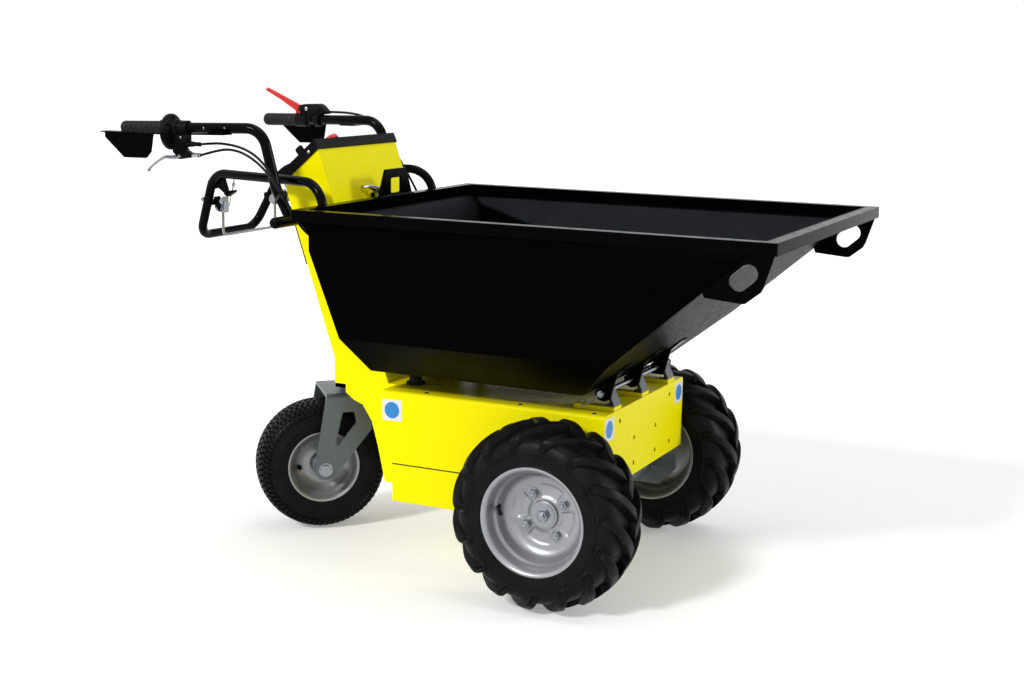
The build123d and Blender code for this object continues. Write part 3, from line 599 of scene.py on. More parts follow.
def joined(meshes, name, material, body, place, smooth_angle=35.0):
    """One piece from several meshes, moved to its place."""
    bm = bmesh.new()
    for mesh in meshes:
        bm.from_mesh(mesh)
    mesh = on_place(mesh_of(bm, name), place)
    bm = bmesh.new()
    bm.from_mesh(mesh)
    return piece_from(bm, name, material, body, smooth_angle)


def added(bm, other, place=Matrix()):
    """Adds another form to this one at a place."""
    mesh = on_place(mesh_of(other), place)
    bm.from_mesh(mesh)
    bpy.data.meshes.remove(mesh)


def swept(bm, path, radii, sides=12, flat=(1.0, 1.0), up=(0.0, 1.0, 0.0)):
    """Closed bar along a list of places, its round section squeezed by two shares."""
    path = [Vector(place) for place in path]
    if not isinstance(radii, (list, tuple)):
        radii = [radii] * len(path)
    rings = []
    for i, (place, radius) in enumerate(zip(path, radii)):
        along = (path[min(i + 1, len(path) - 1)] - path[max(i - 1, 0)]).normalized()
        side = Vector(up).cross(along).normalized()
        rise = along.cross(side)
        rings.append([place + radius * (flat[0] * math.cos(2 * math.pi * k / sides) * side
                                        + flat[1] * math.sin(2 * math.pi * k / sides) * rise)
                      for k in range(sides)])
    bar = bmesh.new()
    rows = ring_faces(bar, rings)
    bar.faces.new(rows[0][::-1])
    bar.faces.new(rows[-1])
    bmesh.ops.recalc_face_normals(bar, faces=bar.faces)
    added(bm, bar)


def wire(bm, points, radius, steps=6, sides=10, up=(0.0, 1.0, 0.0)):
    """Round wire bent smoothly through places given in millimetres."""
    rows = smooth_rows([tuple(mm(*point)) for point in points], steps)
    swept(bm, rows, radius, sides, up=up)


def side_plate(bm, outline, near, far, side):
    """Plate with an (x, z) outline in millimetres between two distances out from the middle plane."""
    low, high = sorted((side * near, side * far))
    plate = bmesh.new()
    add_prism(plate, outline, low, high)
    for vertex in plate.verts:
        x, z, y = vertex.co
        vertex.co = mm(x, y, z)
    bmesh.ops.recalc_face_normals(plate, faces=plate.faces)
    added(bm, plate)


def rounded(bm, width, steps=2, angle=32.0):
    """The form with its sharp edges rounded off."""
    edges = [edge for edge in bm.edges if len(edge.link_faces) == 2
             and edge.calc_face_angle(0.0) > math.radians(angle)]
    bmesh.ops.bevel(bm, geom=edges, offset=width, offset_type="OFFSET", segments=steps, profile=0.5,
                    affect="EDGES", clamp_overlap=True)
    return bm


BAR_END, BAR_CORNER = (-1127.0, 292.0, 977.0), (-762.0, 260.0, 986.0)


def bar_place(distance, side):
    """Matrix on a handlebar end: z forwards along the bar, y up, millimetres from the grip's end."""
    end = mm(BAR_END[0], side * BAR_END[1], BAR_END[2])
    run = (mm(BAR_CORNER[0], side * BAR_CORNER[1], BAR_CORNER[2]) - end).normalized()
    return facing(end + run * distance / 1000, run)


# ---------------------------------------------------------------- operators
class DUMPER_OT_materials(bpy.types.Operator):
    """Makes the finishes and gives every CAD node the one of its slot"""
    bl_idname = "dumper.materials"
    bl_label = "Finishes"

    def execute(self, context):
        make_materials(context.scene.dumper_paint)
        TREES["repeat"] = repeat_tree()
        TREES["scatter"] = scatter_tree()
        for node, piece in NODES.items():
            piece.data.materials.clear()
            piece.data.materials.append(MATERIALS[SLOT_OF[node]])
        return {"FINISHED"}


class DUMPER_OT_bodywork(bpy.types.Operator):
    """Rounds the edges of the folded sheet, plates and tubes"""
    bl_idname = "dumper.bodywork"
    bl_label = "Bodywork"

    def execute(self, context):
        edges = context.scene.dumper_edges
        for node in ("chassis_box", "battery_tray", "pylon_side_plates", "pylon_front_panel",
                     "pylon_rear_panel", "battery_block", "control_panel_cap"):
            dress(node, edge=edges.sheet)
        dress("skip_tub", "skip_paint", edge=edges.sheet)
        dress("skip_rim", "plate_paint", edge=edges.tube, steps=3)
        for node in ("skip_lugs", "skip_handle_plate", "skip_hinge_ears", "hand_guards"):
            dress(node, "plate_paint", edge=edges.plate)
        for node in ("castor_mount", "castor_fork", "rear_strip", "gear_motors", "brake_perch",
                     "bump_stops"):
            dress(node, edge=edges.plate)
        # The hinge brackets take the zinc darkened as painted shade, standing for the dark reflections they show.
        dress("hinge_brackets", "dark_zinc", edge=edges.plate)
        for node in ("handlebar_mount", "handlebar_tubes", "guard_bar"):
            dress(node, "tube_paint", edge=0.0006, smooth_angle=40.0)
        for node in ("bail_wire", "left_lever", "hinge_rod", "emergency_stop", "cable_glands"):
            dress(node, edge=0.0005, smooth_angle=40.0)
        dress("key_switch", "black_plastic", edge=0.0008)
        return {"FINISHED"}


LUG_STATIONS = [  # distance out, base radius, lean, height, share of the sweep, half width
    (-0.004, 0.1870, 0, 0.0185, 1.00, 0.0120), (0.018, 0.1872, 2, 0.0182, 0.77, 0.0124),
    (0.040, 0.1848, 12, 0.0168, 0.50, 0.0120), (0.056, 0.1795, 31, 0.0148, 0.28, 0.0110),
    (0.0665, 0.1715, 50, 0.0128, 0.12, 0.0100), (0.0715, 0.1625, 66, 0.0074, 0.03, 0.0092),
    (0.0745, 0.1545, 76, 0.0040, 0.00, 0.0088), (0.0757, 0.1495, 82, 0.0012, 0.00, 0.0084)]


def tyre_lug(sweep):
    """One tread bar on the +y half, swept back from the middle and down the shoulder."""
    bm = bmesh.new()
    rings = []
    rows = smooth_rows(LUG_STATIONS, 3)
    for i, (out, base, lean, height, share, half) in enumerate(rows):
        angle = share * sweep
        tilt = math.radians(lean)
        notch = 0.005 if 14 <= i <= 17 else 0.0
        ring = []
        for across, rise in ((-1.45, -0.002), (-1.0, height - 0.0015), (-0.8, height),
                             (-0.16, height - notch), (0.16, height - notch), (0.8, height),
                             (1.0, height - 0.0015), (1.45, -0.002)):
            radius = base + rise * math.cos(tilt)
            turn = angle + across * half / base
            ring.append((radius * math.sin(turn), out + rise * math.sin(tilt), radius * math.cos(turn)))
        rings.append(ring)
    rows = ring_faces(bm, rings, closed=False)
    bm.faces.new(rows[0][::-1])
    bm.faces.new(rows[-1])
    bmesh.ops.recalc_face_normals(bm, faces=bm.faces)
    return bm


def mirrored(bm):
    """The form on the other side of the wheel's middle plane."""
    bmesh.ops.scale(bm, vec=(1, -1, 1), verts=bm.verts)
    bmesh.ops.reverse_faces(bm, faces=bm.faces)
    return bm


def front_carcass():
    """Front tyre's body between its beads, without the tread bars."""
    half = [(0.0700, 0.1115), (0.0745, 0.1175), (0.0756, 0.1206), (0.0768, 0.1212), (0.0770, 0.1226),
            (0.0764, 0.1236), (0.0774, 0.1290), (0.0784, 0.1370), (0.0787, 0.1436), (0.0796, 0.1442),
            (0.0796, 0.1458), (0.0784, 0.1468), (0.0766, 0.1480), (0.0762, 0.1500), (0.0752, 0.1560),
            (0.0725, 0.1640), (0.0680, 0.1715), (0.0600, 0.1785), (0.0480, 0.1835), (0.0300, 0.1865),
            (0.0120, 0.1878)]
    profile = half + mirror_profile(half)
    return turned(bmesh.new(), profile + [profile[0]], 120)


class DUMPER_OT_front_tyres(bpy.types.Operator):
    """Front tyres with swept tread bars, staggered half a pitch from side to side"""
    bl_idname = "dumper.front_tyres"
    bl_label = "Front tyres"

    def execute(self, context):
        tyres = context.scene.dumper_tyres
        pitch = 2 * math.pi / tyres.lug_count
        for side, body, node in ((1, "left_wheel", "front_tyre_left"),
                                 (-1, "right_wheel", "front_tyre_right")):
            start = math.radians(8.0)
            outer = repeated_round(tyre_lug(tyres.lug_sweep), "outer_lugs", tyres.lug_count, start, "tyre")
            inner = repeated_round(mirrored(tyre_lug(tyres.lug_sweep)), "inner_lugs", tyres.lug_count,
                                   start + pitch / 2, "tyre")
            piece = joined([mesh_of(front_carcass()), outer, inner], f"{node}_tread", "tyre", body,
                           wheel_place(side), 38.0)
            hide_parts(node)
        return {"FINISHED"}


RIM_DISC_OUT, NUT_CIRCLE, FIRST_NUT_ANGLE = 0.0045, 0.050, 32


def rim_shell(segments=144):
    """Front rim drawn about y, its outer face towards +y, with pressed recesses in its disc."""
    lip = [(0.0725, 0.1196), (0.0746, 0.1187), (0.0752, 0.1165), (0.0744, 0.1135), (0.0712, 0.1095),
           (0.0660, 0.1068), (0.0580, 0.1056), (0.0470, 0.1050), (0.0425, 0.1035), (0.0395, 0.0995),
           (0.0360, 0.0975)]
    face = [(0.0280, 0.0966), (0.0200, 0.0950), (0.0135, 0.0915), (0.0085, 0.0855),
            (0.0055, 0.0790), (0.0045, 0.0740)]
    disc = [(RIM_DISC_OUT, radius) for radius in (0.070, 0.066, 0.063, 0.060, 0.056, 0.050, 0.045, 0.041,
                                                  0.038, 0.035, 0.032)]
    hub = [(0.0075, 0.0305), (0.0120, 0.0300), (0.0125, 0.0290), (0.0125, 0.0150)]
    back = [(0.0000, 0.0150), (0.0000, 0.0740), (-0.0020, 0.0860), (-0.0060, 0.0930), (-0.0120, 0.0955)]
    seat = [(0.0380, 0.1060), (0.0600, 0.1090), (0.0690, 0.1130), (0.0700, 0.1180)]
    profile = lip + face + disc + hub + back + mirror_profile(lip) + mirror_profile(seat) + seat
    profile.append(profile[0])
    rings = []
    for y, radius in profile:
        ring = []
        for i in range(segments):
            angle = 2 * math.pi * i / segments
            sink = 0.0
            if y == RIM_DISC_OUT and radius < 0.0735:
                between = math.cos(4 * (angle - math.radians(FIRST_NUT_ANGLE + 45)))
                wide = min(1.0, max(0.0, (between + 0.35) / 0.25))
                deep = min(1.0, max(0.0, min(radius - 0.036, 0.068 - radius) / 0.004))
                sink = 0.0035 * wide * deep
            ring.append((radius * math.cos(angle), y - sink, radius * math.sin(angle)))
        rings.append(ring)
    bm = bmesh.new()
    ring_faces(bm, rings)
    return sealed(bm)


def placed(bm, place):
    """The form moved by a matrix, its faces kept outwards."""
    bmesh.ops.transform(bm, matrix=place, verts=bm.verts)
    if place.determinant() < 0:
        bmesh.ops.reverse_faces(bm, faces=bm.faces)
    return bm


class DUMPER_OT_front_rims(bpy.types.Operator):
    """Front rims with stepped barrel, pressed disc, nuts, hub washer and valve"""
    bl_idname = "dumper.front_rims"
    bl_label = "Front rims"

    def execute(self, context):
        for side, body, node in ((1, "left_wheel", "front_rim_left"),
                                 (-1, "right_wheel", "front_rim_right")):
            place = wheel_place(side)
            rim = piece_from(placed(rim_shell(), place), f"{node}_shell", "rim_paint", body,
                             40.0)
            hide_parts(node)
            spots = []
            for k in range(4):
                angle = math.radians(FIRST_NUT_ANGLE + 90 * k)
                spot = Vector((NUT_CIRCLE * math.cos(angle), RIM_DISC_OUT, NUT_CIRCLE * math.sin(angle)))
                spots.append((place @ spot, (0, side, 0)))
            set_at_points(hex_bolt(0.0185, 0.0085, 0.0132, 0.0022, 0.003), f"{node}_nuts", spots, "zinc",
                          body)
            hub = hex_bolt(0.024, 0.010, 0.026, 0.0025, 0.005)
            set_at_points(hub, f"{node}_hub_nut", [(place @ Vector((0, 0.0125, 0)), (0, side, 0))], "zinc",
                          body)
            foot = place @ Vector((-0.0985, 0.030, 0.012))
            tip = place @ Vector((-0.0850, 0.047, 0.001))
            stem = post([(0.0, 0.0060), (0.004, 0.0058), (0.010, 0.0044), (0.021, 0.0042),
                         (0.022, 0.0050), (0.0260, 0.0050), (0.0270, 0.0030), (0.0270, 0.0)], 16)
            piece_from(placed(stem, facing(foot, tip - foot)), f"{node}_valve", "rubber", body)
        return {"FINISHED"}


def castor_carcass():
    """Castor tyre's body between its beads, without the tread blocks."""
    half = [(0.0540, 0.0810), (0.0585, 0.0885), (0.0592, 0.0930), (0.0602, 0.0990), (0.0614, 0.1060),
            (0.0619, 0.1130), (0.0619, 0.1140), (0.0610, 0.1160), (0.0604, 0.1168), (0.0602, 0.1200),
            (0.0592, 0.1290), (0.0560, 0.1385), (0.0500, 0.1450), (0.0400, 0.1495), (0.0250, 0.1525),
            (0.0100, 0.1537)]
    profile = half + mirror_profile(half)
    return turned(bmesh.new(), profile + [profile[0]], 120)


def turf_block(out, base, lean, height, wide, long, skew):
    """Small tread block: a bent bar standing on the carcass at a distance out."""
    bm = bmesh.new()
    tilt = math.radians(lean)
    rings = []
    for rise, share in ((-0.0015, 1.18), (height - 0.0006, 1.0), (height, 0.86)):
        ring = []
        for along, across in ((-0.5, -0.5), (0.0, -0.5), (0.5, -0.5), (0.5, 0.5), (0.0, 0.5), (-0.5, 0.5)):
            bend = skew * (1 - abs(along) * 2)
            turn = (across * long * share + bend) / base
            y = out + along * wide * share * math.cos(tilt) + rise * math.sin(tilt)
            radius = base + rise * math.cos(tilt) - along * wide * share * math.sin(tilt)
            ring.append((radius * math.sin(turn), y, radius * math.cos(turn)))
        rings.append(ring)
    rows = ring_faces(bm, rings)
    bm.faces.new(rows[-1])
    bmesh.ops.recalc_face_normals(bm, faces=bm.faces)
    return bm


TURF_ROWS = [  # distance out, base radius, lean, width, share of the pitch along, offset, bend
    (0.0000, 0.1538, 0, 0.013, 0.62, 0.0, 0.0016), (0.0165, 0.1532, 4, 0.014, 0.60, 0.5, -0.0018),
    (0.0325, 0.1510, 14, 0.014, 0.60, 0.0, 0.0018), (0.0465, 0.1467, 32, 0.012, 0.58, 0.5, -0.0012),
    (0.0560, 0.1380, 62, 0.012, 0.52, 0.0, 0.0)]


def castor_wheel_rim():
    """Castor rim, alike on both sides, with its hub."""
    face = [(0.0565, 0.0893), (0.0580, 0.0885), (0.0583, 0.0868), (0.0576, 0.0840), (0.0545, 0.0808),
            (0.0490, 0.0790), (0.0400, 0.0782), (0.0350, 0.0772), (0.0315, 0.0735), (0.0270, 0.0720),
            (0.0200, 0.0705), (0.0130, 0.0650), (0.0070, 0.0560), (0.0050, 0.0480), (0.0050, 0.0300),
            (0.0080, 0.0260), (0.0280, 0.0240), (0.0500, 0.0230), (0.0500, 0.0100)]
    seat = [(0.0440, 0.0810), (0.0530, 0.0840), (0.0540, 0.0880)]
    return turned(bmesh.new(), face + mirror_profile(face) + mirror_profile(seat) + seat + [face[0]], 120)


class DUMPER_OT_castor(bpy.types.Operator):
    """Castor tyre with turf blocks, and its rim"""
    bl_idname = "dumper.castor"
    bl_label = "Castor wheel"

    def execute(self, context):
        tyres = context.scene.dumper_tyres
        place = castor_place()
        pitch = 2 * math.pi / tyres.block_count
        parts = [mesh_of(castor_carcass())]
        for out, base, lean, wide, share, offset, bend in TURF_ROWS:
            long = share * pitch * base
            for mirror in ((1, -1) if out else (1,)):
                block = turf_block(out, base, lean, tyres.block_height, wide, long, bend)
                if mirror < 0:
                    mirrored(block)
                parts.append(repeated_round(block, "turf_row", tyres.block_count, offset * pitch, "tyre"))
        tyre = joined(parts, "castor_tyre_tread", "tyre", "castor_wheel", place, 38.0)
        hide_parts("castor_tyre")
        rim = piece_from(placed(castor_wheel_rim(), place), "castor_rim_shell", "rim_paint", "castor_wheel",
                         40.0)
        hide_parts("castor_rim")
        return {"FINISHED"}


class DUMPER_OT_castor_bolt(bpy.types.Operator):
    """Axle bolt through the castor's fork, and the valve in its rim"""
    bl_idname = "dumper.castor_bolt"
    bl_label = "Castor bolt"

    def execute(self, context):
        place = castor_place()
        bolt = bmesh.new()
        turned(bolt, [(-0.086, 0.0), (-0.086, 0.008), (0.086, 0.008), (0.086, 0.0)], 24)
        for side in (-1, 1):
            head = hex_bolt(0.024, 0.0072, 0.0172, 0.0024)
            added(bolt, head, facing((0, side * 0.086, 0), (0, side, 0)))
        piece = piece_from(placed(bolt, place), "castor_axle_bolt", "zinc", "castor")
        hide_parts("castor_axle")
        foot, tip = Vector((-0.0535, -0.0095, -0.011)), Vector((-0.0515, -0.034, -0.013))
        stem = post([(0.0, 0.0), (0.0, 0.0062), (0.004, 0.0058), (0.010, 0.0045), (0.019, 0.0041),
                     (0.019, 0.0)], 16)
        piece_from(placed(stem, place @ facing(foot, tip - foot)), "castor_valve", "rubber", "castor_wheel")
        cap = post([(0.018, 0.0), (0.018, 0.0033), (0.0245, 0.0032), (0.0255, 0.0022), (0.0255, 0.0)], 16)
        piece_from(placed(cap, place @ facing(foot, tip - foot)), "castor_valve_cap", "brass",
                   "castor_wheel")
        return {"FINISHED"}


# ---------------------------------------------------------------- controls
def knurled_grip():
    """Rubber grip along z with crossed ridges, a round end and a collar."""
    around, steps, waves = 72, 84, 7
    profile = [(-0.006, 0.0, 0), (-0.006, 0.0095, 0), (-0.0050, 0.0125, 0), (-0.0030, 0.0145, 0),
               (0.0, 0.0154, 0)]
    profile += [(0.002 + 0.096 * i / steps, 0.0146, 1) for i in range(steps + 1)]
    profile += [(0.0985, 0.0155, 0), (0.1000, 0.0172, 0), (0.1010, 0.0185, 0), (0.1062, 0.0185, 0),
                (0.1070, 0.0177, 0), (0.1070, 0.0, 0)]
    rings = []
    for height, radius, knurl in profile:
        ring = []
        for i in range(around):
            angle = 2 * math.pi * i / around
            turn = 2 * math.pi * height / 0.0135
            ridge = max(math.cos(waves * angle + turn), math.cos(waves * angle - turn))
            reach = radius + knurl * 0.0014 * min(1.0, max(0.0, ridge * 2.4 - 1.2))
            ring.append((reach * math.cos(angle), reach * math.sin(angle), height))
        rings.append(ring)
    bm = bmesh.new()
    ring_faces(bm, rings)
    return sealed(bm)


class DUMPER_OT_grips(bpy.types.Operator):
    """Knurled rubber grips on both ends of the handlebar"""
    bl_idname = "dumper.grips"
    bl_label = "Grips"

    def execute(self, context):
        both = bmesh.new()
        for side in (-1, 1):
            added(both, knurled_grip(), bar_place(0.0, side))
        piece = piece_from(both, "grips_knurled", "rubber", "chassis", 60.0)
        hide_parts("grips")
        return {"FINISHED"}


class DUMPER_OT_right_controls(bpy.types.Operator):
    """Twist throttle, brake lever and the perch's bolts on the right bar"""
    bl_idname = "dumper.right_controls"
    bl_label = "Right controls"

    def execute(self, context):
        bar = bar_place(107.0, -1)
        body = post([(0.0, 0.0), (0.0, 0.0182), (0.0015, 0.0196), (0.0085, 0.0196), (0.0105, 0.0184),
                     (0.0250, 0.0184), (0.0262, 0.0200), (0.0400, 0.0200), (0.0420, 0.0186),
                     (0.0420, 0.0)], 40)
        disc = post([(0.0105, 0.0), (0.0105, 0.0330), (0.0118, 0.0385), (0.0142, 0.0412), (0.0175, 0.0420),
                     (0.0215, 0.0420), (0.0240, 0.0408), (0.0256, 0.0375), (0.0262, 0.0330),
                     (0.0290, 0.0300), (0.0298, 0.0255), (0.0298, 0.0)], 64)
        added(body, disc, Matrix.Translation((0.0, -0.009, 0.0)))
        for turn in (35, 90, 145, 215, 325):
            angle = math.radians(turn)
            rib = bmesh.new()
            add_prism(rib, [(0.021, -0.0022), (0.036, -0.0022), (0.036, 0.0022), (0.021, 0.0022)],
                      0.024, 0.0305)
            rounded(rib, 0.0012)
            added(body, rib, Matrix.Translation((0, -0.009, 0)) @ Matrix.Rotation(angle, 4, "Z"))
        piece = piece_from(placed(body, bar), "throttle_body", "black_plastic", "chassis")
        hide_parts("throttle_housing")
        lever = bmesh.new()
        path = [(-966, 917), (-985, 913), (-1000, 912), (-1014, 912), (-1026, 908), (-1040, 900),
                (-1052, 892), (-1061, 885), (-1067, 878)]
        radii = [(5.4,), (5.3,), (4.8,), (4.2,), (3.4,), (2.8,), (2.6,), (2.7,), (3.4,)]
        rows = smooth_rows([tuple(mm(x, -286, z)) for x, z in path], 5)
        sizes = [row[0] / 1000 for row in smooth_rows(radii, 5)]
        swept(lever, rows, sizes, 14, flat=(1.0, 1.7))
        added(lever, post([(0.0, 0.0), (0.0, 0.0052), (0.0095, 0.0052), (0.0095, 0.0)], 20),
              facing(mm(-970, -281.2, 917), (0, -1, 0)))
        piece = piece_from(lever, "brake_lever_blade", "zinc", "chassis", 50.0)
        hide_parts("brake_lever")
        bolts = [(mm(-971, -294, 918), (0, -1, 0)), (mm(-966, -294, 960), (0, -1, 0))]
        set_at_points(button_head(0.0030, 0.0018), "perch_bolts", bolts, "zinc", "chassis")
        barrel = post([(0.0, 0.0), (0.0, 0.0058), (0.002, 0.0062), (0.006, 0.0062), (0.007, 0.0050),
                       (0.012, 0.0050), (0.013, 0.0060), (0.018, 0.0060), (0.019, 0.0044), (0.024, 0.0042),
                       (0.024, 0.0)], 18)
        piece_from(placed(barrel, facing(mm(-938, -286, 920), (1, 0, 0.02))), "brake_adjuster", "chrome",
                   "chassis")
        boot = post([(0.0, 0.0), (0.0, 0.0078), (0.006, 0.0078), (0.030, 0.0050), (0.036, 0.0047),
                     (0.037, 0.0054), (0.040, 0.0054), (0.041, 0.0046), (0.041, 0.0)], 20)
        piece_from(placed(boot, facing(mm(-957, -284, 945), (1, 0, 0))), "throttle_boot", "black_plastic",
                   "chassis")
        return {"FINISHED"}


class DUMPER_OT_left_controls(bpy.types.Operator):
    """Housing of the red lever on the left bar, with its eye, bolt and clamp"""
    bl_idname = "dumper.left_controls"
    bl_label = "Left controls"

    def execute(self, context):
        body = bmesh.new()
        outline = [(-1010, 996), (-1010, 1014), (-1005, 1019), (-996, 1021), (-952, 1023), (-943, 1020),
                   (-936, 1014), (-929, 1006), (-929, 1000), (-944, 995), (-954, 986), (-960, 974),
                   (-1004, 973), (-1010, 980)]
        side_plate(body, outline, 264, 290, 1)
        rounded(body, 0.0035, 3)
        ledge = bmesh.new()
        side_plate(ledge, [(-1003, 996), (-1003, 1012), (-996, 1017), (-955, 1018), (-943, 1009),
                           (-952, 999), (-972, 994), (-980, 1001), (-990, 994)], 260.5, 268, 1)
        rounded(ledge, 0.0018)
        added(body, ledge)
        for x, low, high in ((-989, 974, 990), (-975, 976, 999), (-965, 975, 990)):
            swept(body, [mm(x, 264.5, low), mm(x, 264.5, high)], 0.0038, 14, up=(1.0, 0.0, 0.0))
        eye = post([(0.0, 0.0), (0.0, 0.0078), (0.0035, 0.0078), (0.0052, 0.0066), (0.0052, 0.0042),
                    (0.0034, 0.0038), (0.0034, 0.0)], 28)
        added(body, eye, facing(mm(-1005, 264, 1000), (0, -1, 0)))
        for low, high in ((92, 122), (150, 165)):
            collar = post([(low / 1000, 0.0), (low / 1000, 0.0172), (low / 1000 + 0.0012, 0.0184),
                           (high / 1000 - 0.0012, 0.0184), (high / 1000, 0.0172), (high / 1000, 0.0)], 32)
            added(body, collar, bar_place(15.0, 1))
        boot = post([(0.0, 0.0), (0.0, 0.0064), (0.010, 0.0058), (0.022, 0.0042), (0.022, 0.0)], 18)
        added(body, boot, facing(mm(-942, 277, 1002), (1, 0, 0)))
        piece = piece_from(body, "left_housing_body", "black_plastic", "chassis", 40.0)
        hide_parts("left_lever_housing")
        pin = post([(0.0, 0.0), (0.0, 0.0036), (0.004, 0.0036), (0.005, 0.0028), (0.005, 0.0)], 20)
        piece_from(placed(pin, facing(mm(-1005, 262, 1000), (0, -1, 0))), "left_lever_pin", "red_plastic",
                   "chassis")
        bolts = [(mm(-984, 260.5, 1009.5), (0, -1, 0)), (mm(-984, 290, 1009.5), (0, 1, 0))]
        set_at_points(button_head(0.0052, 0.0028), "left_housing_bolts", bolts, "chrome", "chassis")
        return {"FINISHED"}


class DUMPER_OT_guard_straps(bpy.types.Operator):
    """Straps and bolts that hold the hand guards on the handlebar"""
    bl_idname = "dumper.guard_straps"
    bl_label = "Guard straps"

    def execute(self, context):
        strap = bmesh.new()
        bolts = []
        for side in (-1, 1):
            bar = bar_place(0.0, side)
            ends = [bar @ Vector((side * 0.0128, 0.0005, along)) for along in (0.196, 0.218, 0.262, 0.284)]
            swept(strap, ends, [0.0042, 0.0052, 0.0052, 0.0042], 16, flat=(0.36, 1.0), up=(0.0, 0.0, 1.0))
            for along in (0.222, 0.277):
                bolts.append((bar @ Vector((side * 0.0146, 0.0005, along)), (0, side, 0)))
        piece_from(strap, "guard_strap_bars", "tube_paint", "chassis", 50.0)
        set_at_points(button_head(0.0027, 0.0018), "guard_strap_bolts", bolts, "zinc", "chassis")
        return {"FINISHED"}


# ---------------------------------------------------------------- bail, latch and clips
class DUMPER_OT_bail(bpy.types.Operator):
    """Brackets, gussets, springs and eyes that hang the bail on the guard bar"""
    bl_idname = "dumper.bail"
    bl_label = "Bail brackets"

    def execute(self, context):
        bright = bmesh.new()
        dark = bmesh.new()
        nuts = []
        for side in (-1, 1):
            cheek = bmesh.new()
            side_plate(cheek, arc((-990, 784), 14, 100, 262, 8) + [(-963.5, 771), (-963.5, 809), (-978, 809)],
                       114.6, 117.6, side)
            side_plate(cheek, [(-966.5, 771), (-963.5, 771), (-963.5, 809), (-966.5, 809)], 117.6, 134, side)
            side_plate(cheek, [(-966.5, 776), (-951, 779), (-951, 797), (-966.5, 801)], 131.4, 134, side)
            rounded(cheek, 0.0006, 1)
            added(bright, cheek)
            spring = post([(0.0, 0.0), (0.0, 0.0090), (0.013, 0.0090), (0.014, 0.0080), (0.014, 0.0)])
            added(bright, spring, facing(mm(-990, side * 106.6, 782), (0, side, 0)))
            added(bright, hex_bolt(0.013, 0.0055, 0.0085, 0.0014),
                  facing(mm(-978, side * 117.6, 797), (0, side, 0)))
            wire(bright, [(-936, side * 130, 853), (-937, side * 130, 846), (-941, side * 130, 841),
                          (-938, side * 130, 836), (-933, side * 130, 840), (-937, side * 130, 845),
                          (-939, side * 130, 836), (-941, side * 130, 826)], 0.0014)
            wire(bright, [(-947, side * 126, 822), (-949, side * 126, 812), (-952, side * 125, 800),
                          (-954, side * 125, 788)], 0.0012)
            plates = bmesh.new()
            side_plate(plates, [(-1002, 807), (-985, 810), (-982, 800), (-986, 771), (-1000, 789)], 119, 124,
                       side)
            side_plate(plates, [(-953, 858), (-978, 862), (-1004, 848), (-1010, 822), (-973, 831),
                                (-953, 817), (-943, 828)], 139, 143, side)
            rounded(plates, 0.0008, 1)
            added(dark, plates)
            cup = bmesh.new()
            side_plate(cup, [(-962, 822), (-958, 814), (-950, 811), (-934, 822), (-933, 828), (-946, 826)],
                       121, 139, side)
            rounded(cup, 0.0006, 1)
            added(dark, cup)
            added(dark, post([(0.0, 0.0), (0.0, 0.008), (0.022, 0.008), (0.022, 0.0)], 24),
                  facing(mm(-1011, side * 112, 793), (0, side, 0)))
            nuts.append((mm(-1018.5, side * 139.5, 801), (-0.93, side * 0.36, 0)))
        piece = piece_from(bright, "bail_bracket_plates", "zinc", "chassis", 40.0)
        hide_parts("bail_brackets")
        piece_from(dark, "bail_gussets", "tube_paint", "chassis", 40.0)
        set_at_points(hex_bolt(0.010, 0.0045, 0.0062, 0.0010, 0.002), "bail_nuts", nuts, "zinc", "chassis")
        return {"FINISHED"}


class DUMPER_OT_latch(bpy.types.Operator):
    """Skip latch: yellow plate, black block and bright hook, with the weld beads of the hand plate"""
    bl_idname = "dumper.latch"
    bl_label = "Latch"

    def execute(self, context):
        slope = facing(mm(-625, 0, 825), (0.942, 0, 0.335), (0, 0, 1))
        base = bmesh.new()
        plate_at(base, (0, 0, 0), (0, 0, 1), 0.023, 0.017, 0.003, 0.004)
        placed(base, slope)
        piece = piece_from(base, "latch_plate", "yellow_paint", "chassis")
        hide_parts("skip_latch")
        block = bmesh.new()
        side_plate(block, [(-622, 806), (-606, 806), (-602, 812), (-602, 824), (-607, 829), (-627, 829)],
                   -14, 11, 1)
        rounded(block, 0.0022)
        piece_from(block, "latch_block", "black_plastic", "chassis")
        hook = bmesh.new()
        rows = smooth_rows([tuple(mm(*p)) for p in ((-622, -52, 845), (-616, -40, 847), (-612, -26, 846),
                                                    (-610, -8, 842), (-609, 6, 838), (-608, 13, 828),
                                                    (-608, 14, 812))], 5)
        swept(hook, rows, 0.0085, 12, flat=(0.42, 1.0), up=(1.0, 0.0, 0.0))
        rows = smooth_rows([tuple(mm(*p)) for p in ((-611, -34, 843), (-607, -22, 838), (-605, -15, 828),
                                                    (-604, -14, 812))], 5)
        swept(hook, rows, 0.0075, 12, flat=(0.45, 1.0), up=(1.0, 0.0, 0.0))
        piece_from(hook, "latch_hook", "chrome", "chassis", 50.0)
        beads = bmesh.new()
        low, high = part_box("skip_handle_plate")
        for x in (high[0] + 0.0006, low[0] - 0.0006):
            count = 96
            rows, sizes = [], []
            for i in range(count + 1):
                share = i / count
                ends = min(1.0, 6 * share + 0.35, 6 * (1 - share) + 0.35)
                rows.append((x, -0.080 + 0.164 * share, 0.8246 + 0.0009 * math.sin(i * 1.9)))
                sizes.append(0.0050 * ends * (1 + 0.16 * math.sin(i * 1.15) + 0.10 * math.sin(i * 2.7 + 1)))
            swept(beads, rows, sizes, 10, up=(1.0, 0.0, 0.0))
        piece_from(beads, "hand_plate_welds", "tube_paint", "skip", 60.0)
        return {"FINISHED"}


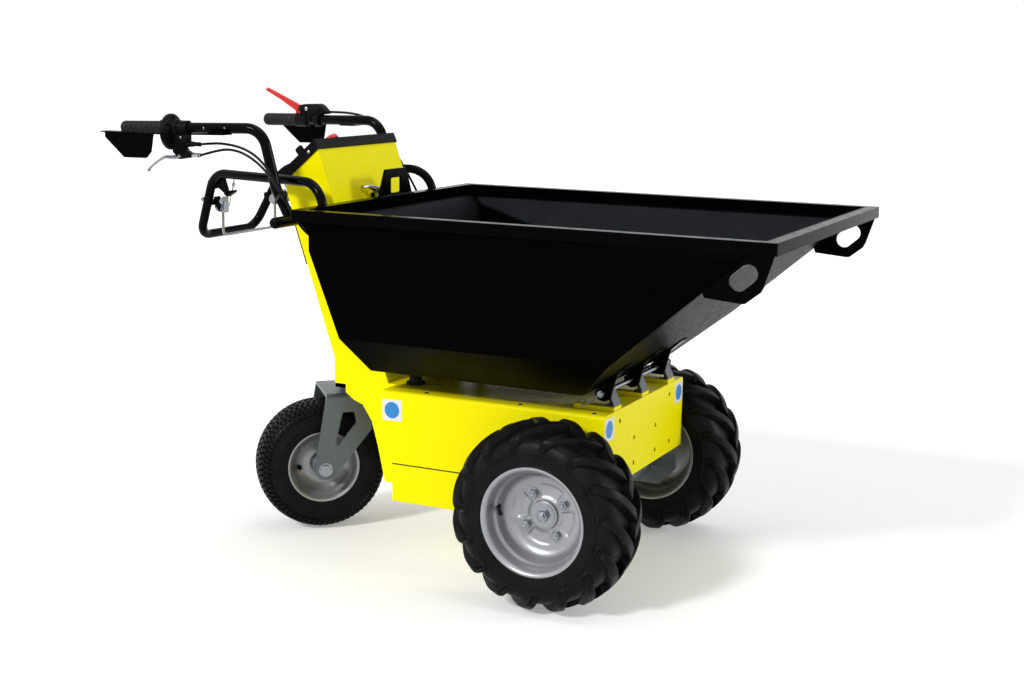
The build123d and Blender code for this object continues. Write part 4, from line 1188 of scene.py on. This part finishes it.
class DUMPER_OT_hinge_clips(bpy.types.Operator):
    """Spring clips in the ends of the tipping rod, and the cable tie on the right leg"""
    bl_idname = "dumper.hinge_clips"
    bl_label = "Clips and tie"

    def execute(self, context):
        clips = bmesh.new()
        for side in (-1, 1):
            out = side * 203
            wire(clips, [(68, out, 452), (54, out, 441), (40, out, 430), (26, out, 419), (19, out, 418),
                         (20, out, 425), (28, out, 431), (36, out, 425), (46, out, 430), (52, out, 438),
                         (61, out, 429), (66, out, 427)], 0.0014)
            washer = post([(0.0, 0.0), (0.0, 0.0078), (0.0016, 0.0078), (0.0016, 0.0)], 24)
            added(clips, washer, facing((HINGE.x, side * 0.2062, HINGE.z), (0, side, 0)))
        piece_from(clips, "hinge_spring_clips", "zinc", "chassis", 50.0)
        leg = (mm(-688, -256, 780) - mm(-727, -258, 852)).normalized()
        place = facing(mm(-714, -257.4, 828), leg)
        cables = place.inverted() @ mm(-672, -296, 826)
        aim = math.degrees(math.atan2(cables.y, cables.x))
        band = bmesh.new()
        outlines = [[Vector((x, y)) for x, y in arc((0, 0), 0.0130 + grow, aim + 100, aim + 260, 14)
                     + arc((cables.x, cables.y), 0.0085 + grow, aim - 80, aim + 80, 10)]
                    for grow in (0.0, 0.0017)]
        rings = [[(x, y, z) for x, y in outlines[ring]]
                 for ring, z in ((0, -0.0034), (1, -0.0034), (1, 0.0034), (0, 0.0034), (0, -0.0034))]
        ring_faces(band, rings)
        tie = placed(sealed(band), place)
        head = bmesh.new()
        add_prism(head, [(-0.004, -0.0042), (0.0075, -0.0042), (0.0075, 0.0042), (-0.004, 0.0042)], 0.0,
                  0.0075)
        rounded(head, 0.001)
        added(tie, head, facing(mm(-676, -306, 838), (0.75, -0.55, 0.35)))
        piece_from(tie, "cable_tie", "black_plastic", "chassis", 40.0)
        return {"FINISHED"}


# ---------------------------------------------------------------- cables
CABLE_RADIUS = 0.003
CABLE_ROUTES = {
    "throttle_cable": (0.459, [(-918, -284, 945), (-876, -284, 950), (-834, -284, 948), (-796, -285, 941),
                               (-762, -286, 926), (-734, -287, 903), (-711, -288, 876), (-692, -289, 849),
                               (-675, -289, 822), (-659, -287, 796), (-644, -277, 773), (-630, -259, 756),
                               (-618, -237, 745), (-613, -214, 741), (-613, -190, 741)]),
    "brake_cable": (0.482, [(-916, -286, 920), (-876, -287, 931), (-836, -289, 938), (-798, -292, 933),
                            (-764, -295, 919), (-734, -298, 900), (-709, -300, 876), (-688, -301, 851),
                            (-669, -301, 826), (-652, -300, 799), (-637, -293, 772), (-623, -276, 750),
                            (-612, -252, 733), (-604, -228, 722), (-602, -206, 718), (-602, -190, 718)]),
    "left_cable": (0.513, [(-940, 277, 1002), (-902, 276, 1003), (-864, 277, 1002), (-828, 281, 997),
                           (-795, 285, 983), (-768, 287, 961), (-747, 288, 933), (-729, 289, 904),
                           (-710, 288, 877), (-692, 289, 849), (-675, 289, 822), (-659, 287, 796),
                           (-644, 277, 773), (-630, 259, 756), (-618, 237, 745), (-613, 214, 741),
                           (-613, 190, 741)]),
}


class DUMPER_OT_cables(bpy.types.Operator):
    """Control cables from the hand controls to the column's sides"""
    bl_idname = "dumper.cables"
    bl_label = "Cables"

    def execute(self, context):
        for node, (length_m, route) in CABLE_ROUTES.items():
            curve = bpy.data.curves.new(f"{node}_line", "CURVE")
            curve.dimensions = "3D"
            curve.bevel_depth = CABLE_RADIUS
            curve.bevel_resolution = 4
            curve.resolution_u = 10
            curve.use_fill_caps = True
            spline = curve.splines.new("NURBS")
            spline.points.add(len(route) - 1)
            for point, place in zip(spline.points, route):
                point.co = (*mm(*place), 1.0)
            spline.order_u = 3
            spline.use_endpoint_u = True
            curve.materials.append(MATERIALS["cable_black"])
            piece = bpy.data.objects.new(f"{node}_sleeve", curve)
            bpy.context.scene.collection.objects.link(piece)
            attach(piece, "chassis")
            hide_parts(node)
        return {"FINISHED"}


# ---------------------------------------------------------------- signs and fastenings
def plate_at(bm, centre, normal, half_u, half_v, thick, corner, sides=5):
    """Thin plate with rounded corners standing on a flat face."""
    outline = []
    for quarter, (su, sv) in enumerate(((1, 1), (-1, 1), (-1, -1), (1, -1))):
        outline += arc((su * (half_u - corner), sv * (half_v - corner)), corner, quarter * 90,
                       quarter * 90 + 90, sides)
    add_prism(bm, outline, 0.0, thick, facing(centre, normal))


class DUMPER_OT_signs(bpy.types.Operator):
    """Plain white square signs with a plain blue disc, on the box's side and front"""
    bl_idname = "dumper.signs"
    bl_label = "Signs"

    def execute(self, context):
        places = [(mm(-429.5, -243, 363.5), (0, -1, 0)), (mm(-429.5, 243, 363.5), (0, 1, 0)),
                  (mm(91, -215, 375), (1, 0, 0)), (mm(91, 215, 375), (1, 0, 0))]
        white = bmesh.new()
        blue = bmesh.new()
        for centre, normal in places:
            plate_at(white, centre, normal, 0.0255, 0.0245, 0.0003, 0.003)
            add_prism(blue, polygon(0.0190, 40), 0.0003, 0.0005, facing(centre, normal))
        piece_from(white, "sign_squares", "sign_white", "chassis")
        piece_from(blue, "sign_discs", "sign_blue", "chassis")
        return {"FINISHED"}


class DUMPER_OT_fastenings(bpy.types.Operator):
    """Screws and bolts on the box, column and gear motors"""
    bl_idname = "dumper.fastenings"
    bl_label = "Fastenings"

    def execute(self, context):
        screws = [(mm(x, side * 225, 408), (0, 0, 1)) for side in (-1, 1) for x in (-350, -116, 60)]
        set_at_points(button_head(0.0050, 0.0026), "box_screws", screws, "zinc", "chassis")
        strip = []
        for x, z in ((-679, 653), (-645, 558)):
            strip.append((mm(x, -166, z), (-0.945, 0, -0.325)))
        set_at_points(hex_bolt(0.013, 0.006, 0.0085, 0.0015), "strip_bolts", strip, "zinc", "chassis")
        plates = [(mm(along, side * 206, z), (0, side, 0)) for side in (-1, 1) for along in (-78, 78)
                  for z in (178, 226)]
        set_at_points(hex_bolt(0.013, 0.006, 0.0095, 0.0016), "gearbox_bolts", plates, "zinc", "chassis")
        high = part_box("control_panel_cap")[1]
        cap = [(Vector((mm(-688, 0, 0).x, side * (high[1] + 0.0001), 0.932)), (0, side, 0))
               for side in (-1, 1)]
        set_at_points(button_head(0.0042, 0.0022), "cap_screws", cap, "chrome", "chassis")
        low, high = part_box("battery_tray")
        # A dark band just under the battery tray's top, 0.4 mm proud of its sides: a painted shadow standing for
        # the shade in the gap between box and tray.
        seam_shadow = bmesh.new()
        plate_at(seam_shadow, ((low[0] + high[0]) / 2, 0, high[2] - 0.0030), (0, 0, 1),
                 (high[0] - low[0]) / 2 + 0.0004, (high[1] - low[1]) / 2 + 0.0004, 0.0024, 0.002)
        piece_from(seam_shadow, "tray_seam", "black_plastic", "chassis")
        return {"FINISHED"}


# ---------------------------------------------------------------- stage
CAMERA_PLACE = mm(1324.9, -3249.4, 1176.6)
CAMERA_AZIMUTH, CAMERA_ELEVATION, CAMERA_ROLL = 25.822, 10.581, 0.869
LENS_MM = 55.216


def add_camera():
    azimuth, elevation, roll = (math.radians(a) for a in (CAMERA_AZIMUTH, CAMERA_ELEVATION, CAMERA_ROLL))
    forward = Vector((-math.sin(azimuth) * math.cos(elevation), math.cos(azimuth) * math.cos(elevation),
                      -math.sin(elevation)))
    right = Vector((math.cos(azimuth), math.sin(azimuth), 0.0))
    up = right.cross(forward)
    turned_right = right * math.cos(roll) + up * math.sin(roll)
    turned_up = up * math.cos(roll) - right * math.sin(roll)
    data = bpy.data.cameras.new("view")
    data.lens = LENS_MM
    data.sensor_width = 36.0
    data.clip_end = 60.0
    camera = bpy.data.objects.new("view", data)
    matrix = Matrix((turned_right, turned_up, -forward)).transposed().to_4x4()
    matrix.translation = CAMERA_PLACE
    camera.matrix_world = matrix
    bpy.context.scene.collection.objects.link(camera)
    bpy.context.scene.camera = camera


def add_lamp(name, towards, spread, power):
    """Distant soft lamp shining from a direction, its spread in degrees."""
    data = bpy.data.lights.new(name, "SUN")
    data.angle = math.radians(spread)
    data.energy = power
    lamp = bpy.data.objects.new(name, data)
    lamp.rotation_euler = Vector(towards).to_track_quat("Z", "Y").to_euler()
    bpy.context.scene.collection.objects.link(lamp)


def seen_directly(tree):
    """1 where a ray comes from the camera, a mirror-like surface or through glass."""
    path = tree.nodes.new("ShaderNodeLightPath")
    total = path.outputs["Is Camera Ray"]
    for name in ("Is Glossy Ray", "Is Transmission Ray"):
        node = tree.nodes.new("ShaderNodeMath")
        node.operation = "MAXIMUM"
        tree.links.new(total, node.inputs[0])
        tree.links.new(path.outputs[name], node.inputs[1])
        total = node.outputs[0]
    return total


def white_world(fill):
    world = bpy.data.worlds.new("studio")
    bpy.context.scene.world = world
    world.use_nodes = True
    tree = world.node_tree
    tree.nodes.clear()
    output = tree.nodes.new("ShaderNodeOutputWorld")
    soft = tree.nodes.new("ShaderNodeBackground")
    soft.inputs["Strength"].default_value = fill
    white = tree.nodes.new("ShaderNodeBackground")
    white.inputs["Strength"].default_value = 1.0
    for node in (soft, white):
        node.inputs["Color"].default_value = (1.0, 1.0, 1.0, 1.0)
    mix = tree.nodes.new("ShaderNodeMixShader")
    tree.links.new(seen_directly(tree), mix.inputs[0])
    tree.links.new(soft.outputs[0], mix.inputs[1])
    tree.links.new(white.outputs[0], mix.inputs[2])
    tree.links.new(mix.outputs[0], output.inputs["Surface"])


def pale_floor():
    """Large pale floor that shows white where it is lit and keeps the object's shadow."""
    material = bpy.data.materials.new("studio_floor")
    material.use_nodes = True
    tree = material.node_tree
    tree.nodes.clear()
    output = tree.nodes.new("ShaderNodeOutputMaterial")
    bounce = tree.nodes.new("ShaderNodeBsdfDiffuse")
    bounce.inputs["Color"].default_value = (0.78, 0.78, 0.78, 1.0)
    shown = tree.nodes.new("ShaderNodeBsdfDiffuse")
    shown.inputs["Color"].default_value = (0.80, 0.80, 0.80, 1.0)
    glow = tree.nodes.new("ShaderNodeEmission")
    glow.inputs["Strength"].default_value = 0.30
    both = tree.nodes.new("ShaderNodeAddShader")
    mix = tree.nodes.new("ShaderNodeMixShader")
    tree.links.new(shown.outputs[0], both.inputs[0])
    tree.links.new(glow.outputs[0], both.inputs[1])
    tree.links.new(seen_directly(tree), mix.inputs[0])
    tree.links.new(bounce.outputs[0], mix.inputs[1])
    tree.links.new(both.outputs[0], mix.inputs[2])
    tree.links.new(mix.outputs[0], output.inputs["Surface"])
    mesh = bpy.data.meshes.new("floor")
    reach = 14.0
    mesh.from_pydata([(-reach, -reach, 0), (reach, -reach, 0), (reach, reach, 0), (-reach, reach, 0)], [],
                     [(0, 1, 2, 3)])
    mesh.materials.append(material)
    floor = bpy.data.objects.new("floor", mesh)
    floor.location = (0.0, 0.0, -0.0004)
    bpy.context.scene.collection.objects.link(floor)


class DUMPER_OT_studio(bpy.types.Operator):
    """Pale floor, soft lamps, white surround and the camera"""
    bl_idname = "dumper.studio"
    bl_label = "Studio"

    def execute(self, context):
        add_camera()
        context.scene.view_settings.view_transform = "Standard"
        white_world(0.42)
        pale_floor()
        add_lamp("key_lamp", (-0.26, -0.80, 0.58), 10.0, 2.10)
        add_lamp("top_lamp", (0.20, 0.10, 1.0), 40.0, 0.95)
        add_lamp("front_lamp", (0.88, 0.40, 0.30), 14.0, 0.95)
        return {"FINISHED"}


# ---------------------------------------------------------------- panel and run
STEPS = (DUMPER_OT_materials, DUMPER_OT_bodywork, DUMPER_OT_front_tyres, DUMPER_OT_front_rims,
         DUMPER_OT_castor, DUMPER_OT_castor_bolt, DUMPER_OT_grips, DUMPER_OT_right_controls,
         DUMPER_OT_left_controls, DUMPER_OT_guard_straps, DUMPER_OT_bail, DUMPER_OT_latch,
         DUMPER_OT_hinge_clips, DUMPER_OT_cables, DUMPER_OT_signs, DUMPER_OT_fastenings, DUMPER_OT_studio)


class DUMPER_PT_panel(bpy.types.Panel):
    """Lists the dumper's makers"""
    bl_idname = "DUMPER_PT_panel"
    bl_label = "Site dumper"
    bl_space_type = "VIEW_3D"
    bl_region_type = "UI"
    bl_category = "Dumper"

    def draw(self, context):
        for step in STEPS:
            self.layout.operator(step.bl_idname)


CLASSES = (DumperPaint, DumperTyres, DumperEdges) + STEPS + (DUMPER_PT_panel,)


def register():
    for cls in CLASSES:
        bpy.utils.register_class(cls)
    bpy.types.Scene.dumper_paint = PointerProperty(type=DumperPaint)
    bpy.types.Scene.dumper_tyres = PointerProperty(type=DumperTyres)
    bpy.types.Scene.dumper_edges = PointerProperty(type=DumperEdges)


def unregister():
    del bpy.types.Scene.dumper_edges
    del bpy.types.Scene.dumper_tyres
    del bpy.types.Scene.dumper_paint
    for cls in reversed(CLASSES):
        bpy.utils.unregister_class(cls)


def main():
    register()
    for step in STEPS:
        group, name = step.bl_idname.split(".")
        getattr(getattr(bpy.ops, group), name)()


if __name__ == "__main__":
    main()
